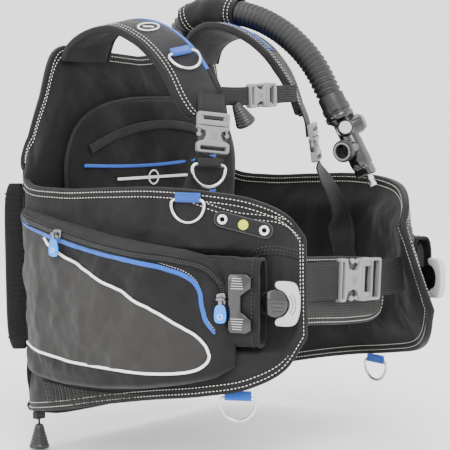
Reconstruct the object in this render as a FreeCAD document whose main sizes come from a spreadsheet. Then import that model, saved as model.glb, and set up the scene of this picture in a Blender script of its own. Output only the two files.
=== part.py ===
"""Jacket-style buoyancy compensator vest, worn over a scuba tank.

Frame: origin on the tank's axis at the middle height of the tank band, +X to the wearer's left,
the wearer's chest towards -Y, +Z up. Millimetres. The right side of the vest is at -X.
"""
import FreeCAD, Part
import math
import os
import Sketcher

V = FreeCAD.Vector
UP = V(0, 0, 1)
RIGHT, LEFT = -1, 1
SIDES = {"right": RIGHT, "left": LEFT}

doc = FreeCAD.newDocument("BuoyancyVest")
sheet = doc.addObject("Spreadsheet::Sheet", "Sizes")

SIZES = {
    # tank band and backplate
    "tank_radius": 92, "band_height": 50, "band_thickness": 3,
    "plate_width": 190, "plate_height": 310, "plate_thickness": 11, "plate_middle": 5,
    "cam_width": 60, "cam_length": 58, "cam_depth": 8, "lever_length": 62, "lever_thickness": 5,
    "lever_pin_radius": 3, "running_gap": 0.08,
    # soft walls
    "shell_thickness": 26, "lobe_thickness": 26, "lobe_edge_thickness": 12,
    "shell_back": 107, "pad_thickness": 24,
    "strap_thickness": 13,
    "cummerbund_thickness": 7,
    # webbing
    "wide_web": 50, "chest_web": 38, "small_web": 25, "web_thickness": 2,
    # side-release buckles
    "buckle_margin": 8, "buckle_depth": 12, "wall": 2.5, "fit_gap": 0.4,
    # rings
    "ring_wire": 2.2, "ring_width": 46, "ring_corner": 6, "loop_wall": 2.2,
    # weight system
    "sleeve_length": 178, "sleeve_height": 112, "sleeve_depth": 32, "sleeve_wall": 2.5,
    "recess_length": 80,
    "pouch_length": 160, "pouch_height": 100, "pouch_depth": 24,
    "grip_height": 56, "grip_length": 32, "grip_depth": 10,
    "latch_height": 74, "latch_width": 30, "latch_depth": 6,
    # inflator and hose
    "hose_radius": 19, "cuff_radius": 20, "inflator_radius": 17, "inflator_length": 84,
    "mouth_radius": 13, "mouth_bore": 9, "button_radius": 9, "button_travel": 4,
    "nipple_radius": 5.5, "nipple_length": 14, "nipple_neck": 4,
    # dump valves
    "valve_radius": 26, "valve_depth": 16, "cord_radius": 1.5, "knob_top_radius": 6,
    "knob_bottom_radius": 14, "knob_height": 30,
    # knife plate and zips
    "knife_length": 76, "knife_height": 20, "knife_thickness": 3, "grommet_radius": 4,
    "zip_width": 7, "zip_thickness": 1.6, "slider_length": 16, "slider_width": 11,
    "slider_depth": 5, "pull_pin_radius": 1, "pull_length": 26, "pull_width": 13,
    "pull_thickness": 2.4,
}
for row, (alias, value) in enumerate(SIZES.items(), start=1):
    sheet.set(f"A{row}", alias)
    sheet.set(f"B{row}", str(value))
    sheet.setAlias(f"B{row}", alias)
doc.recompute()

NODES = {}


def size(alias):
    """A size read back from the sheet."""
    return float(sheet.get(alias))


def bind(piece, **expressions):
    for name, expression in expressions.items():
        piece.setExpression(name.replace("__", "."), expression)
    return piece


def block(name, sizes, centre=("0", "0", "0")):
    """A box with its middle at the centre; sizes and centre are expressions on the sheet."""
    piece = doc.addObject("Part::Box", name)
    for edge, extent, axis, place in zip(("Length", "Width", "Height"), sizes, "xyz", centre):
        piece.setExpression(edge, extent)
        piece.setExpression(f"Placement.Base.{axis}", f"{place} - ({extent}) / 2")
    return piece


AXIS_TURNS = {"x": FreeCAD.Rotation(V(0, 1, 0), 90), "y": FreeCAD.Rotation(V(1, 0, 0), -90),
              "z": FreeCAD.Rotation()}


def rod(name, radius, length, start=("0", "0", "0"), axis="z"):
    """A cylinder that runs from its start along +axis."""
    piece = doc.addObject("Part::Cylinder", name)
    bind(piece, Radius=radius, Height=length)
    piece.Placement.Rotation = AXIS_TURNS[axis]
    for letter, place in zip("xyz", start):
        piece.setExpression(f"Placement.Base.{letter}", place)
    return piece


def join(name, pieces):
    piece = doc.addObject("Part::MultiFuse", name)
    piece.Shapes = pieces
    return piece


def carve(name, base, tools):
    """The base with the tools cut away."""
    piece = doc.addObject("Part::Cut", name)
    piece.Base = base
    piece.Tool = tools[0] if len(tools) == 1 else join(name + "_tools", tools)
    return piece


def pose(at, up=UP, out=V(0, -1, 0)):
    """A placement whose local Z is up and whose local -Y is out."""
    z_axis = V(up).normalize()
    y_axis = V(out) * -1
    y_axis = (y_axis - z_axis * y_axis.dot(z_axis)).normalize()
    x_axis = y_axis.cross(z_axis)
    return FreeCAD.Placement(at, FreeCAD.Rotation(x_axis, y_axis, z_axis, "ZYX"))


def compound(name, pieces):
    piece = doc.addObject("Part::Compound", name)
    piece.Links = pieces
    return piece


def moved(name, piece, placement):
    """The piece in a group of its own, so that the group can be placed as a whole."""
    group = compound(name, [piece])
    group.Placement = placement
    return group


def keep(node, piece, placement=None):
    """Names a finished sub-part and puts it in its place."""
    if piece.TypeId in ("Part::Box", "Part::Cylinder"):
        piece = compound(node + "_group", [piece])
    piece.Label = node
    piece.Placement = placement or FreeCAD.Placement()
    NODES[node] = piece
    return piece


def soft(node, shape, placement=None):
    piece = doc.addObject("Part::Feature", node)
    piece.Shape = shape
    return keep(node, piece, placement)


def mirrored(point, side):
    return V(side * point[0], point[1], point[2])


# ---------------------------------------------------------------- the wall of each side lobe
# Outer-face stations from the back corner forward to the front edge: (top point, bottom point).
WALL = [((205, -86, 88), (200, -88, -252)), ((225, -112, 68), (219, -116, -248)),
        ((231, -180, 62), (231, -184, -235)), ((231, -262, 66), (235, -268, -216)),
        ((224, -345, 70), (231, -350, -200)), ((206, -415, 67), (219, -425, -188)),
        ((172, -468, 57), (197, -484, -174)), ((140, -496, 38), (170, -516, -152)),
        ((114, -506, 8), (150, -536, -110))]
# Outer-face stations of the back shell, from the middle to the corner it shares with the lobe.
BACK = [((0, -107, 243), (0, -107, -262)), ((88, -107, 249), (88, -107, -262)),
        ((164, -106, 249), (160, -106, -260)), ((183, -102, 189), (180, -103, -257)),
        ((196, -94, 134), (192, -96, -254)), WALL[0]]


def inward(stations, index):
    """The horizontal direction into the vest at a station of a path that runs forward at +X."""
    before, after = stations[max(index - 1, 0)], stations[min(index + 1, len(stations) - 1)]
    run = V(*after[0]) + V(*after[1]) - V(*before[0]) - V(*before[1])
    return V(run.y, -run.x, 0).normalize()


CORNER_IN = inward([BACK[-2], WALL[0], WALL[1]], 1)
WALL_IN = [CORNER_IN] + [inward(WALL, index) for index in range(1, len(WALL))]
BACK_IN = [V(0, -1, 0)] + [inward(BACK, index) for index in range(1, len(BACK) - 1)] + [CORNER_IN]


def section(top, bottom, offset):
    """A closed four-point wire: the edge from top to bottom and its copy moved by the offset."""
    return Part.makePolygon([top, bottom, bottom + offset, top + offset, top])


def loft(sections):
    return Part.makeLoft(sections, True, True)


def blend(a, b, share):
    return V(*a) * (1 - share) + V(*b) * share


def chart(u, height, side, offset=0.0):
    """A point of a lobe's outer face at station u and z = height, moved outwards by the offset."""
    index = min(int(u), len(WALL) - 2)
    share = u - index
    top = blend(WALL[index][0], WALL[index + 1][0], share)
    bottom = blend(WALL[index][1], WALL[index + 1][1], share)
    point = blend(top, bottom, (top.z - height) / (top.z - bottom.z))
    point -= blend(WALL_IN[index], WALL_IN[index + 1], share).normalize() * offset
    return mirrored(point, side)


def wall_out(u, side):
    index = min(int(u), len(WALL) - 2)
    return mirrored(blend(WALL_IN[index], WALL_IN[index + 1], u - index) * -1, side).normalize()


def wall_pose(u, height, side, offset, turn=0.0):
    """A placement on a lobe's outer face; its local -Y points out and turn dips its front end."""
    out = wall_out(u, side)
    forward = out.cross(UP) * side
    up = UP * math.cos(math.radians(turn)) + forward * math.sin(math.radians(turn))
    return pose(chart(u, height, side, offset), up, out)


# ---------------------------------------------------------------- back shell, lobes, back pad
def make_back_shell():
    thickness = size("shell_thickness")
    right = [section(mirrored(top, RIGHT), mirrored(bottom, RIGHT),
                     mirrored(direction * thickness, RIGHT))
             for (top, bottom), direction in zip(BACK, BACK_IN)]
    left = [section(V(*top), V(*bottom), direction * thickness)
            for (top, bottom), direction in zip(BACK, BACK_IN)]
    return loft(right[:0:-1] + left)


def make_lobe(side):
    depths = [size("lobe_thickness")] * 7 + [20, size("lobe_edge_thickness")]
    return loft([section(mirrored(top, side), mirrored(bottom, side),
                         mirrored(direction * depth, side))
                 for (top, bottom), direction, depth in zip(WALL, WALL_IN, depths)])


def make_outline_pad(name, outline, depth_expression):
    """A body padded towards +Y from a closed outline of (x, z) points on its XZ plane."""
    body = doc.addObject("PartDesign::Body", name)
    plane = [item for item in body.Origin.OriginFeatures if item.Role == "XZ_Plane"][0]
    sketch = body.newObject("Sketcher::SketchObject", name + "_outline")
    sketch.AttachmentSupport = [(plane, "")]
    sketch.MapMode = "FlatFace"
    count = len(outline)
    for index, start in enumerate(outline):
        end = outline[(index + 1) % count]
        sketch.addGeometry(Part.LineSegment(V(*start, 0), V(*end, 0)), False)
    for index in range(count):
        sketch.addConstraint(Sketcher.Constraint("Coincident", index, 2, (index + 1) % count, 1))
    pad = body.newObject("PartDesign::Pad", name + "_pad")
    pad.Profile = sketch
    pad.setExpression("Length", depth_expression)
    pad.Reversed = True
    doc.recompute()
    return body


PAD_HALF = [(0, 186), (60, 184), (120, 172), (160, 150), (182, 110), (182, 40), (168, -60),
            (150, -150), (110, -185), (0, -190)]


def make_back_pad():
    outline = PAD_HALF + [(-x, z) for x, z in PAD_HALF[-2:0:-1]]
    body = make_outline_pad("back_pad", outline, "Sizes.pad_thickness")
    depth = size("shell_back") + size("shell_thickness") + size("pad_thickness") + 0.3
    keep("back_pad", body, FreeCAD.Placement(V(0, -depth, 0), FreeCAD.Rotation()))


# ---------------------------------------------------------------- shoulder straps
# (neck-side edge, armhole-side edge) of the outer face, from the back shell over to the chest.
STRAP = [((84, -124, 240), (164, -118, 240)), ((80, -135, 274), (161, -130, 262)),
         ((78, -166, 295), (156, -158, 279)), ((76, -207, 296), (151, -200, 285)),
         ((76, -254, 280), (146, -244, 268)), ((78, -292, 255), (143, -273, 245)),
         ((80, -321, 224), (141, -295, 219)), ((84, -341, 192), (138, -312, 187)),
         ((92, -346, 166), (130, -326, 162))]


def strap_in(index):
    before, after = STRAP[max(index - 1, 0)], STRAP[min(index + 1, len(STRAP) - 1)]
    run = V(*after[0]) + V(*after[1]) - V(*before[0]) - V(*before[1])
    across = V(*STRAP[index][1]) - V(*STRAP[index][0])
    return across.cross(run).normalize()


def make_strap(side):
    thickness = size("strap_thickness")
    return loft([section(mirrored(neck, side), mirrored(arm, side),
                         mirrored(strap_in(index) * thickness, side))
                 for index, (neck, arm) in enumerate(STRAP)])


# ---------------------------------------------------------------- cargo pockets and zips
# (station, top z, bottom z, thickness) of the pocket that stands on the lobe's outer face
POCKET = [(0.9, 36, -192, 5), (1.5, 30, -196, 18), (2.3, 20, -198, 26), (3.2, 8, -194, 32),
          (4.0, 0, -186, 36), (4.7, -5, -176, 30), (5.3, -14, -165, 20), (5.7, -34, -150, 8)]


def make_pocket(side):
    sections = []
    for u, top, bottom, depth in POCKET:
        out = wall_out(u, side)
        sections.append(section(chart(u, top, side, -6), chart(u, bottom, side, -6),
                                out * (depth + 6)))
    return loft(sections)


def pocket_depth(u):
    for (u0, _, _, d0), (u1, _, _, d1) in zip(POCKET, POCKET[1:]):
        if u0 <= u <= u1:
            return d0 + (d1 - d0) * (u - u0) / (u1 - u0)
    return POCKET[-1][3]


# The zip runs along the pocket's top edge and turns down its front: (station, z).
ZIP = [(1.3, 22), (2.3, 9), (3.2, -3), (4.0, -11), (4.7, -16), (5.2, -26), (5.45, -46),
       (5.5, -66)]


def zip_point(index, side, lift):
    u, height = ZIP[index]
    return chart(u, height, side, pocket_depth(u) + lift)


def make_zip(side):
    half, thickness = size("zip_width") / 2, size("zip_thickness")
    sections = []
    for index, (u, _) in enumerate(ZIP):
        before = zip_point(max(index - 1, 0), side, 0)
        after = zip_point(min(index + 1, len(ZIP) - 1), side, 0)
        out = wall_out(u, side)
        across = out.cross((after - before).normalize()) * half
        middle = zip_point(index, side, 0.3)
        sections.append(section(middle + across, middle - across, out * thickness))
    return loft(sections)


# ---------------------------------------------------------------- weight pockets
SLIDE = V(0.337, 0.9415, 0)          # towards the back of the sleeve, mirrored on the right
GRIP_MIDDLE = V(172, -523, -68)
MOUTH = GRIP_MIDDLE + V(10.8, 30.1, 0)
SLEEVE_OUT = V(0.9415, -0.337, 0)


def sleeve_pose(side, along, outward=0.0):
    """Local Z up, local -Y out of the vest; along is measured back from the sleeve's mouth."""
    at = MOUTH + V(SLIDE.x, SLIDE.y, 0) * along + SLEEVE_OUT * outward
    return pose(mirrored(at, side), UP, mirrored(SLEEVE_OUT, side))


def make_weight_system(word, side):
    middle = size("sleeve_length") / 2
    forward = str(-side)                    # the mouth is towards local -X on the left lobe
    outer = block(word + "_sleeve_outer", ("Sizes.sleeve_length", "Sizes.sleeve_depth",
                                           "Sizes.sleeve_height"))
    hollow = block(word + "_sleeve_hollow",
                   ("Sizes.sleeve_length", "Sizes.sleeve_depth - 2 * Sizes.sleeve_wall",
                    "Sizes.sleeve_height - 2 * Sizes.sleeve_wall"),
                   (f"{forward} * Sizes.sleeve_wall", "0", "0"))
    keep(word + "_weight_sleeve", carve(word + "_sleeve", outer, [hollow]),
         sleeve_pose(side, middle))
    pouch = block(word + "_pouch", ("Sizes.pouch_length", "Sizes.pouch_depth",
                                    "Sizes.pouch_height"))
    keep(word + "_weight_pouch", pouch, sleeve_pose(side, size("pouch_length") / 2 + 3))

    neck = block(word + "_grip_neck", ("20", "Sizes.grip_depth - 3", "30"),
                 (f"{forward} * -19.5", "0", "0"))
    disc = rod(word + "_grip_disc", "19", "Sizes.grip_depth - 3",
               (f"{forward} * -14", "-(Sizes.grip_depth - 3) / 2", "0"), "y")
    plate = block(word + "_grip_plate", ("Sizes.grip_length", "Sizes.grip_depth",
                                         "Sizes.grip_height"), (f"{forward} * 2", "0", "0"))
    bow = rod(word + "_grip_bow", "60", "Sizes.grip_depth",
              (f"{forward} * -42", "-Sizes.grip_depth / 2", "0"), "y")
    curved = doc.addObject("Part::Common", word + "_grip_curved")
    curved.Base, curved.Tool = plate, bow
    hollowed = carve(word + "_grip_c", curved, [
        rod(word + "_grip_bite", "19", "Sizes.grip_depth + 2",
            (f"{forward} * -14", "-Sizes.grip_depth / 2 - 1", "0"), "y")])
    keep(word + "_weight_handle", join(word + "_handle", [neck, disc, hollowed]),
         pose(mirrored(GRIP_MIDDLE, side), UP, mirrored(SLEEVE_OUT, side)))


def make_latches():
    """The two black latch plates that clip the pouches, on the sleeves' outer faces."""
    pieces = []
    for word, side in SIDES.items():
        base = block(word + "_latch_plate", ("Sizes.latch_width", "Sizes.latch_depth",
                                             "Sizes.latch_height"))
        notch = block(word + "_latch_notch", ("Sizes.latch_width / 2", "Sizes.latch_depth + 2",
                                              "Sizes.latch_height / 3"),
                      (f"{-side} * Sizes.latch_width / 2", "0", "0"))
        latch = carve(word + "_latch", base, [notch])
        latch.Placement = sleeve_pose(side, 22, size("sleeve_depth") / 2
                                      + size("latch_depth") / 2)
        pieces.append(latch)
    keep("weight_latches", compound("weight_latches_group", pieces))


# ---------------------------------------------------------------- webbing
def make_webbing(points, width, faces, thickness=None):
    """A flat strap through the points; faces gives its outward direction at each of them."""
    thickness = thickness or size("web_thickness")
    sections = []
    for index, point in enumerate(points):
        before, after = points[max(index - 1, 0)], points[min(index + 1, len(points) - 1)]
        run = (after - before).normalize()
        across = faces[index].cross(run).normalize() * width / 2
        out = run.cross(across).normalize() * thickness
        if out.dot(faces[index]) < 0:
            out = out * -1
        sections.append(section(point + across, point - across, out))
    return loft(sections)


CHEST_WEB = {"right": [(-119.5, -356, 109.3), (-122, -352, 98), (-137, -344, 66),
                       (-159, -345, 30), (-178, -348, -6), (-188, -352, -40),
                       (-191, -366, -99), (-192, -380, -160)],
             "left": [(114.5, -357, 90.3), (119, -358, 80), (138, -361, 56), (161, -360, 26),
                      (179, -354, -6), (189, -352, -40), (192, -366, -99), (193, -380, -160)]}
CHEST_FACE = {"right": [(-0.5, -0.85, 0)] * 2 + [(-0.2, -0.95, 0.2), (0.2, -0.9, 0.4),
                                                 (0.7, -0.6, 0.3)] + [(1, -0.1, 0)] * 3,
              "left": [(0.5, -0.85, 0)] * 2 + [(0.2, -0.95, 0.2), (-0.2, -0.9, 0.4),
                                               (-0.7, -0.6, 0.3)] + [(-1, -0.1, 0)] * 3}


# ---------------------------------------------------------------- side-release buckles
def make_buckle(word, web, placement, socket_length, plug_length):
    """A socket below and a plug above, in local Z; the plug's prongs sit in the socket."""
    wide = f"(Sizes.{web} + Sizes.buckle_margin)"
    prong_depth = f"{socket_length} - 16"
    shell = block(word + "_socket_shell", (wide, "Sizes.buckle_depth", f"{socket_length}"),
                  ("0", "0", f"-{socket_length} / 2"))
    cavity = block(word + "_cavity", (f"{wide} - 2 * Sizes.wall",
                                      "Sizes.buckle_depth - 2 * Sizes.wall", prong_depth),
                   ("0", "0", f"-({prong_depth}) / 2 + 0.01"))
    slot = block(word + "_slot", (f"Sizes.{web} + 1", "Sizes.buckle_depth + 2", "6"),
                 ("0", "0", f"-{socket_length} + 6.5"))
    windows = [block(f"{word}_window_{word_side}",
                     ("7", "Sizes.buckle_depth + 2", f"({prong_depth}) * 0.5"),
                     (f"{sign} * {wide} / 2", "0", f"-({prong_depth}) * 0.55"))
               for word_side, sign in (("a", "-1"), ("b", "1"))]
    socket = carve(word + "_socket", shell, [cavity, slot] + windows)
    keep(word + "_buckle_socket", socket, placement)

    head = block(word + "_plug_head", (wide, "Sizes.buckle_depth - 2", f"{plug_length}"),
                 ("0", "0", f"{plug_length} / 2 + Sizes.fit_gap"))
    gap = block(word + "_plug_slot", (f"Sizes.{web} + 1", "Sizes.buckle_depth + 2",
                                      f"{plug_length} - 10"),
                ("0", "0", f"{plug_length} / 2 + Sizes.fit_gap + 1"))
    tongue = block(word + "_tongue",
                   (f"{wide} - 2 * Sizes.wall - 2 * Sizes.fit_gap - 8",
                    "Sizes.buckle_depth - 2 * Sizes.wall - 2 * Sizes.fit_gap",
                    f"{prong_depth} - 1 + 2"), ("0", "0", f"-({prong_depth} - 1) / 2 + 1"))
    fork = block(word + "_fork", (f"{wide} * 0.16", "Sizes.buckle_depth", f"({prong_depth}) * 0.7"),
                 (f"{wide} * 0.2", "0", f"-({prong_depth}) * 0.65"))
    fork_b = block(word + "_fork_b", (f"{wide} * 0.16", "Sizes.buckle_depth",
                                      f"({prong_depth}) * 0.7"),
                   (f"-{wide} * 0.2", "0", f"-({prong_depth}) * 0.65"))
    plug = carve(word + "_plug", join(word + "_plug_solid", [head, tongue]), [gap, fork, fork_b])
    keep(word + "_buckle_plug", plug, placement)


SHOULDER_BUCKLE = {"right": (V(-113, -354, 148), V(0.17, 0.1, 0.98), V(-0.46, -0.88, 0.12)),
                   "left": (V(110, -354, 130), V(-0.12, 0.08, 0.99), V(0.46, -0.88, 0.1))}
STERNUM_BUCKLE = (V(-3, -353, 189), V(1, 0.02, 0.03), V(0.02, -1, 0))
WAIST_BUCKLE = (V(32, -491, -59), V(1, -0.02, -0.06), V(-0.02, -1, 0))


# ---------------------------------------------------------------- rings and their loops
def make_ring(node, placement, scale="1"):
    """A D-ring of round wire: its straight bar lies on local X and the bow hangs down -Z."""
    width, corner = f"(Sizes.ring_width * {scale})", "Sizes.ring_corner"
    bar = rod(node + "_bar", "Sizes.ring_wire", f"{width} - 2 * {corner}",
              (f"-{width} / 2 + {corner}", "0", "0"), "x")
    pieces = [bar]
    for part, centre_x, radius, start, sweep in (
            ("bow", "0", f"{width} / 2", 0, 180),
            ("corner_a", f"{width} / 2 - {corner}", corner, 270, 90),
            ("corner_b", f"{corner} - {width} / 2", corner, 180, 90)):
        arc = doc.addObject("Part::Torus", f"{node}_{part}")
        bind(arc, Radius1=radius, Radius2="Sizes.ring_wire")
        arc.Angle3 = sweep
        arc.Placement.Rotation = (FreeCAD.Rotation(V(1, 0, 0), -90)
                                  * FreeCAD.Rotation(V(0, 0, 1), start))
        arc.setExpression("Placement.Base.x", centre_x)
        arc.setExpression("Placement.Base.z", f"-{corner}")
        pieces.append(arc)
    keep(node, join(node + "_wire", pieces), placement)


def make_loop(word, placement, length, depth=7, height=13):
    """The stitched loop round a ring's bar: a flat tab, bored for the bar with running room."""
    body = block(word + "_tab", (str(length), str(depth), str(height)),
                 ("0", "0", f"{height} / 2 - Sizes.ring_wire - Sizes.loop_wall"))
    bore = rod(word + "_bore", "Sizes.ring_wire + Sizes.running_gap", f"{length} + 2",
               (f"-{length} / 2 - 1", "0", "0"), "x")
    loop = carve(word + "_loop", body, [bore])
    loop.Placement = placement
    return loop


def edge_pose(u, side, drop, offset):
    """A placement on a lobe's bottom edge, with local Z up and local -Y out."""
    index = min(int(u), len(WALL) - 2)
    edge = blend(WALL[index][1], WALL[index + 1][1], u - index)
    inner = blend(WALL_IN[index], WALL_IN[index + 1], u - index).normalize()
    at = mirrored(edge - inner * offset + V(0, 0, drop), side)
    return pose(at, UP, mirrored(inner * -1, side))


def strap_pose(spot, side, lift):
    """A placement on a shoulder strap's outer face: local Z runs up the strap."""
    index = int(spot)
    here = [blend(STRAP[index][k], STRAP[index + 1][k], spot - index) for k in (0, 1)]
    run = (V(*STRAP[index][0]) - V(*STRAP[index + 1][0])).normalize()
    out = blend(strap_in(index), strap_in(index + 1), spot - index) * -1
    at = blend(here[0], here[1], 0.42) + out.normalize() * lift
    return pose(mirrored(at, side), mirrored(run, side), mirrored(out, side))


# ---------------------------------------------------------------- inflator
INFLATOR_TOP = V(119, -391, 162)
INFLATOR_DOWN = V(0.15, -0.42, -0.895).normalize()
HOSE_LEAD = INFLATOR_TOP - INFLATOR_DOWN * 34
MOUTH_OUT = V(-1, -0.1, 0.05)
HOSE = [(112, -85, 214), (112, -85, 262), (112, -110, 304), (113, -158, 319), (115, -213, 311),
        (117, -263, 296), (118, -310, 269), (117, -350, 233), tuple(HOSE_LEAD),
        tuple(INFLATOR_TOP)]


def rounded_path(points):
    """Straight runs joined by tangent arcs; prints the radii."""
    points = [V(*point) for point in points]
    edges, last, radii = [], points[0], []
    for before, here, after in zip(points, points[1:], points[2:]):
        into, onto = (here - before), (after - here)
        half = into.getAngle(onto) / 2
        cut = 0.45 * min(into.Length, onto.Length)
        radii.append(round(cut / math.tan(half), 1))
        start = here - into.normalize() * cut
        end = here + onto.normalize() * cut
        bisector = (end + start) * 0.5 - here
        radius = cut / math.tan(half)
        middle = here + bisector.normalize() * (radius / math.cos(half) - radius)
        edges += [Part.LineSegment(last, start).toShape(), Part.Arc(start, middle, end).toShape()]
        last = end
    edges.append(Part.LineSegment(last, points[-1]).toShape())
    return Part.Wire(edges), radii


def make_tube(points, radius):
    path, radii = rounded_path(points)
    first = V(*points[1]) - V(*points[0])
    ring = Part.Wire(Part.makeCircle(radius, V(*points[0]), first))
    tube = path.makePipeShell([ring], True, False)
    print("tube radii", radii, "volume ratio", round(tube.Volume / (math.pi * radius ** 2
                                                                   * path.Length), 4))
    return tube


INFLATOR = pose(INFLATOR_TOP, INFLATOR_DOWN * -1, MOUTH_OUT)
DEFLATE_OUT = V(0.72, -0.6, 0.3)
INFLATE_OUT = V(-0.85, -0.45, 0.35)


def on_inflator(name, piece, out):
    """Turns a piece drawn towards local -Y about the inflator's axis, to face the direction."""
    turn = INFLATOR.inverse().multiply(pose(INFLATOR_TOP, INFLATOR_DOWN * -1, out))
    return moved(name, piece, turn)


def make_button(word, out, drop, reach, radius):
    """A boss with its well, for the inflator's body, and the button that travels in it."""
    well = f"{radius} + Sizes.running_gap + 0.2"
    depth = "Sizes.button_travel + 4"
    boss = rod(word + "_boss", f"{radius} + 3", f"{reach} + 6", ("0", f"-{reach}", f"-{drop}"), "y")
    hole = rod(word + "_well", well, depth, ("0", f"-{reach} - 0.01", f"-{drop}"), "y")
    cap = rod(word + "_cap", radius, f"{depth} - 0.5", ("0", f"-{reach} - 4.5", f"-{drop}"), "y")
    keep(word + "_button", moved(word + "_button_group", cap, FreeCAD.Placement()),
         pose(INFLATOR_TOP, INFLATOR_DOWN * -1, out))
    return on_inflator(word + "_boss_turned", boss, out), on_inflator(word + "_well_turned",
                                                                      hole, out)


def make_inflator():
    tube = rod("inflator_tube", "Sizes.inflator_radius", "Sizes.inflator_length - 8",
               ("0", "0", "-Sizes.inflator_length"))
    collar = rod("inflator_collar", "Sizes.cuff_radius + 1", "8", ("0", "0", "-8.2"))
    foot = block("inflator_foot", ("26", "24", "14"), ("0", "0", "-Sizes.inflator_length - 5"))
    spout = rod("inflator_spout", "Sizes.mouth_radius", "34", ("0", "-30", "-54"), "y")
    bore = rod("spout_bore", "Sizes.mouth_bore", "22", ("0", "-30.01", "-54"), "y")
    inflate_boss, inflate_well = make_button("inflate", INFLATE_OUT, 24, 21,
                                             "Sizes.button_radius")
    deflate_boss, deflate_well = make_button("deflate", DEFLATE_OUT, 23.5, 25,
                                             "Sizes.button_radius + 2")
    seat = rod("nipple_seat", "Sizes.nipple_radius - 1", "6",
               ("0", "4", "-Sizes.inflator_length - 12.01"))
    solid = join("inflator_solid", [tube, collar, foot, spout, inflate_boss, deflate_boss])
    keep("inflator_body", carve("inflator_cut", solid, [bore, inflate_well, deflate_well, seat]),
         INFLATOR)
    lip = rod("mouth_lip", "Sizes.mouth_radius + 2.5", "10", ("0", "-40", "-54"), "y")
    lip_bore = rod("mouth_lip_bore", "Sizes.mouth_bore", "12", ("0", "-41", "-54"), "y")
    keep("mouthpiece", carve("mouthpiece_cut", lip, [lip_bore]), INFLATOR)
    neck = rod("nipple_neck", "Sizes.nipple_radius - 1", "Sizes.nipple_neck + 6",
               ("0", "4", "-Sizes.inflator_length - 12 - Sizes.nipple_neck"))
    stem = rod("nipple_stem", "Sizes.nipple_radius", "Sizes.nipple_length",
               ("0", "4", "-Sizes.inflator_length - 12 - Sizes.nipple_neck - Sizes.nipple_length"))
    keep("inlet_nipple", join("nipple", [neck, stem]), INFLATOR)


def make_hose():
    hose = make_tube(HOSE, size("hose_radius"))
    soft("corrugated_hose", hose)
    over = make_tube(HOSE[2:5], size("hose_radius") + 3)
    soft("hose_sleeve", over.cut(hose))
    bands = []
    for word, at, along in (("lower", HOSE[0], V(*HOSE[1]) - V(*HOSE[0])),
                            ("upper", HOSE[-1], V(*HOSE[-2]) - V(*HOSE[-1]))):
        band = Part.makeCylinder(size("hose_radius") + 2.5, 8, V(*at), along)
        band.translate(along.normalize() * 2)
        bands.append(band.cut(hose))
    soft("hose_clamps", Part.makeCompound(bands))
    elbow = rod("elbow_tube", "Sizes.hose_radius + 1", "44", ("0", "0", "-44"))
    flange = rod("elbow_flange", "Sizes.valve_radius", "14", ("0", "-20.9", "-33"), "y")
    keep("hose_elbow", join("hose_elbow_solid", [elbow, flange]),
         FreeCAD.Placement(V(*HOSE[0]), FreeCAD.Rotation()))


# ---------------------------------------------------------------- dump valves and knobs
def make_knob(word, placement, bored):
    """A cone-shaped pull knob, local Z up; bored for its cord where one shows."""
    cone = doc.addObject("Part::Cone", word + "_knob_cone")
    bind(cone, Radius1="Sizes.knob_bottom_radius", Radius2="Sizes.knob_top_radius",
         Height="Sizes.knob_height", Placement__Base__z="-Sizes.knob_height")
    base = rod(word + "_knob_foot", "Sizes.knob_bottom_radius", "3",
               ("0", "0", "-Sizes.knob_height - 3"))
    solid = join(word + "_knob", [cone, base])
    if bored:
        hole = rod(word + "_knob_bore", "Sizes.cord_radius", "15", ("0", "0", "-15"))
        solid = carve(word + "_bored_knob", solid, [hole])
    keep(word + "_dump_knob", solid, placement)


LOWER_CORD = V(-215, -122, 0)
LOWER_CORD_TOP, LOWER_CORD_END, LOWER_KNOB_TOP = -236, -283, -268
LOWER_GUIDE_TOP, LOWER_GUIDE_HEIGHT = -250, 10
UPPER_KNOB = (V(-70, -357, 178), V(-0.55, 0.1, 0.8), V(-0.6, -0.8, 0))


def make_dump_valves():
    """The rear lower-right valve, the right shoulder valve and the lower cord's guide tab."""
    lower = rod("lower_valve", "Sizes.valve_radius", "Sizes.valve_depth", ("-128", "-105.9", "-205"),
                "y")
    upper = rod("upper_valve", "Sizes.valve_radius", "Sizes.valve_depth", ("-128", "-105.9", "190"),
                "y")
    tab = block("guide_tab", ("16", "12", str(LOWER_GUIDE_HEIGHT)),
                (str(LOWER_CORD.x), str(LOWER_CORD.y), f"{LOWER_GUIDE_TOP} - 5"))
    bore = rod("guide_bore", "Sizes.cord_radius + 0.7", "30",
               (str(LOWER_CORD.x), str(LOWER_CORD.y), "-275"))
    keep("dump_valves", compound("dump_valve_group", [lower, upper, carve("guide", tab, [bore])]))
    cord = rod("lower_cord", "Sizes.cord_radius", f"{LOWER_CORD_TOP} - {LOWER_CORD_END}",
               ("0", "0", str(LOWER_CORD_END)))
    keep("lower_dump_cord", cord, FreeCAD.Placement(LOWER_CORD, FreeCAD.Rotation()))
    make_knob("lower", FreeCAD.Placement(V(LOWER_CORD.x, LOWER_CORD.y, LOWER_KNOB_TOP),
                                         FreeCAD.Rotation()), True)
    make_knob("upper", pose(*UPPER_KNOB), False)


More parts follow.
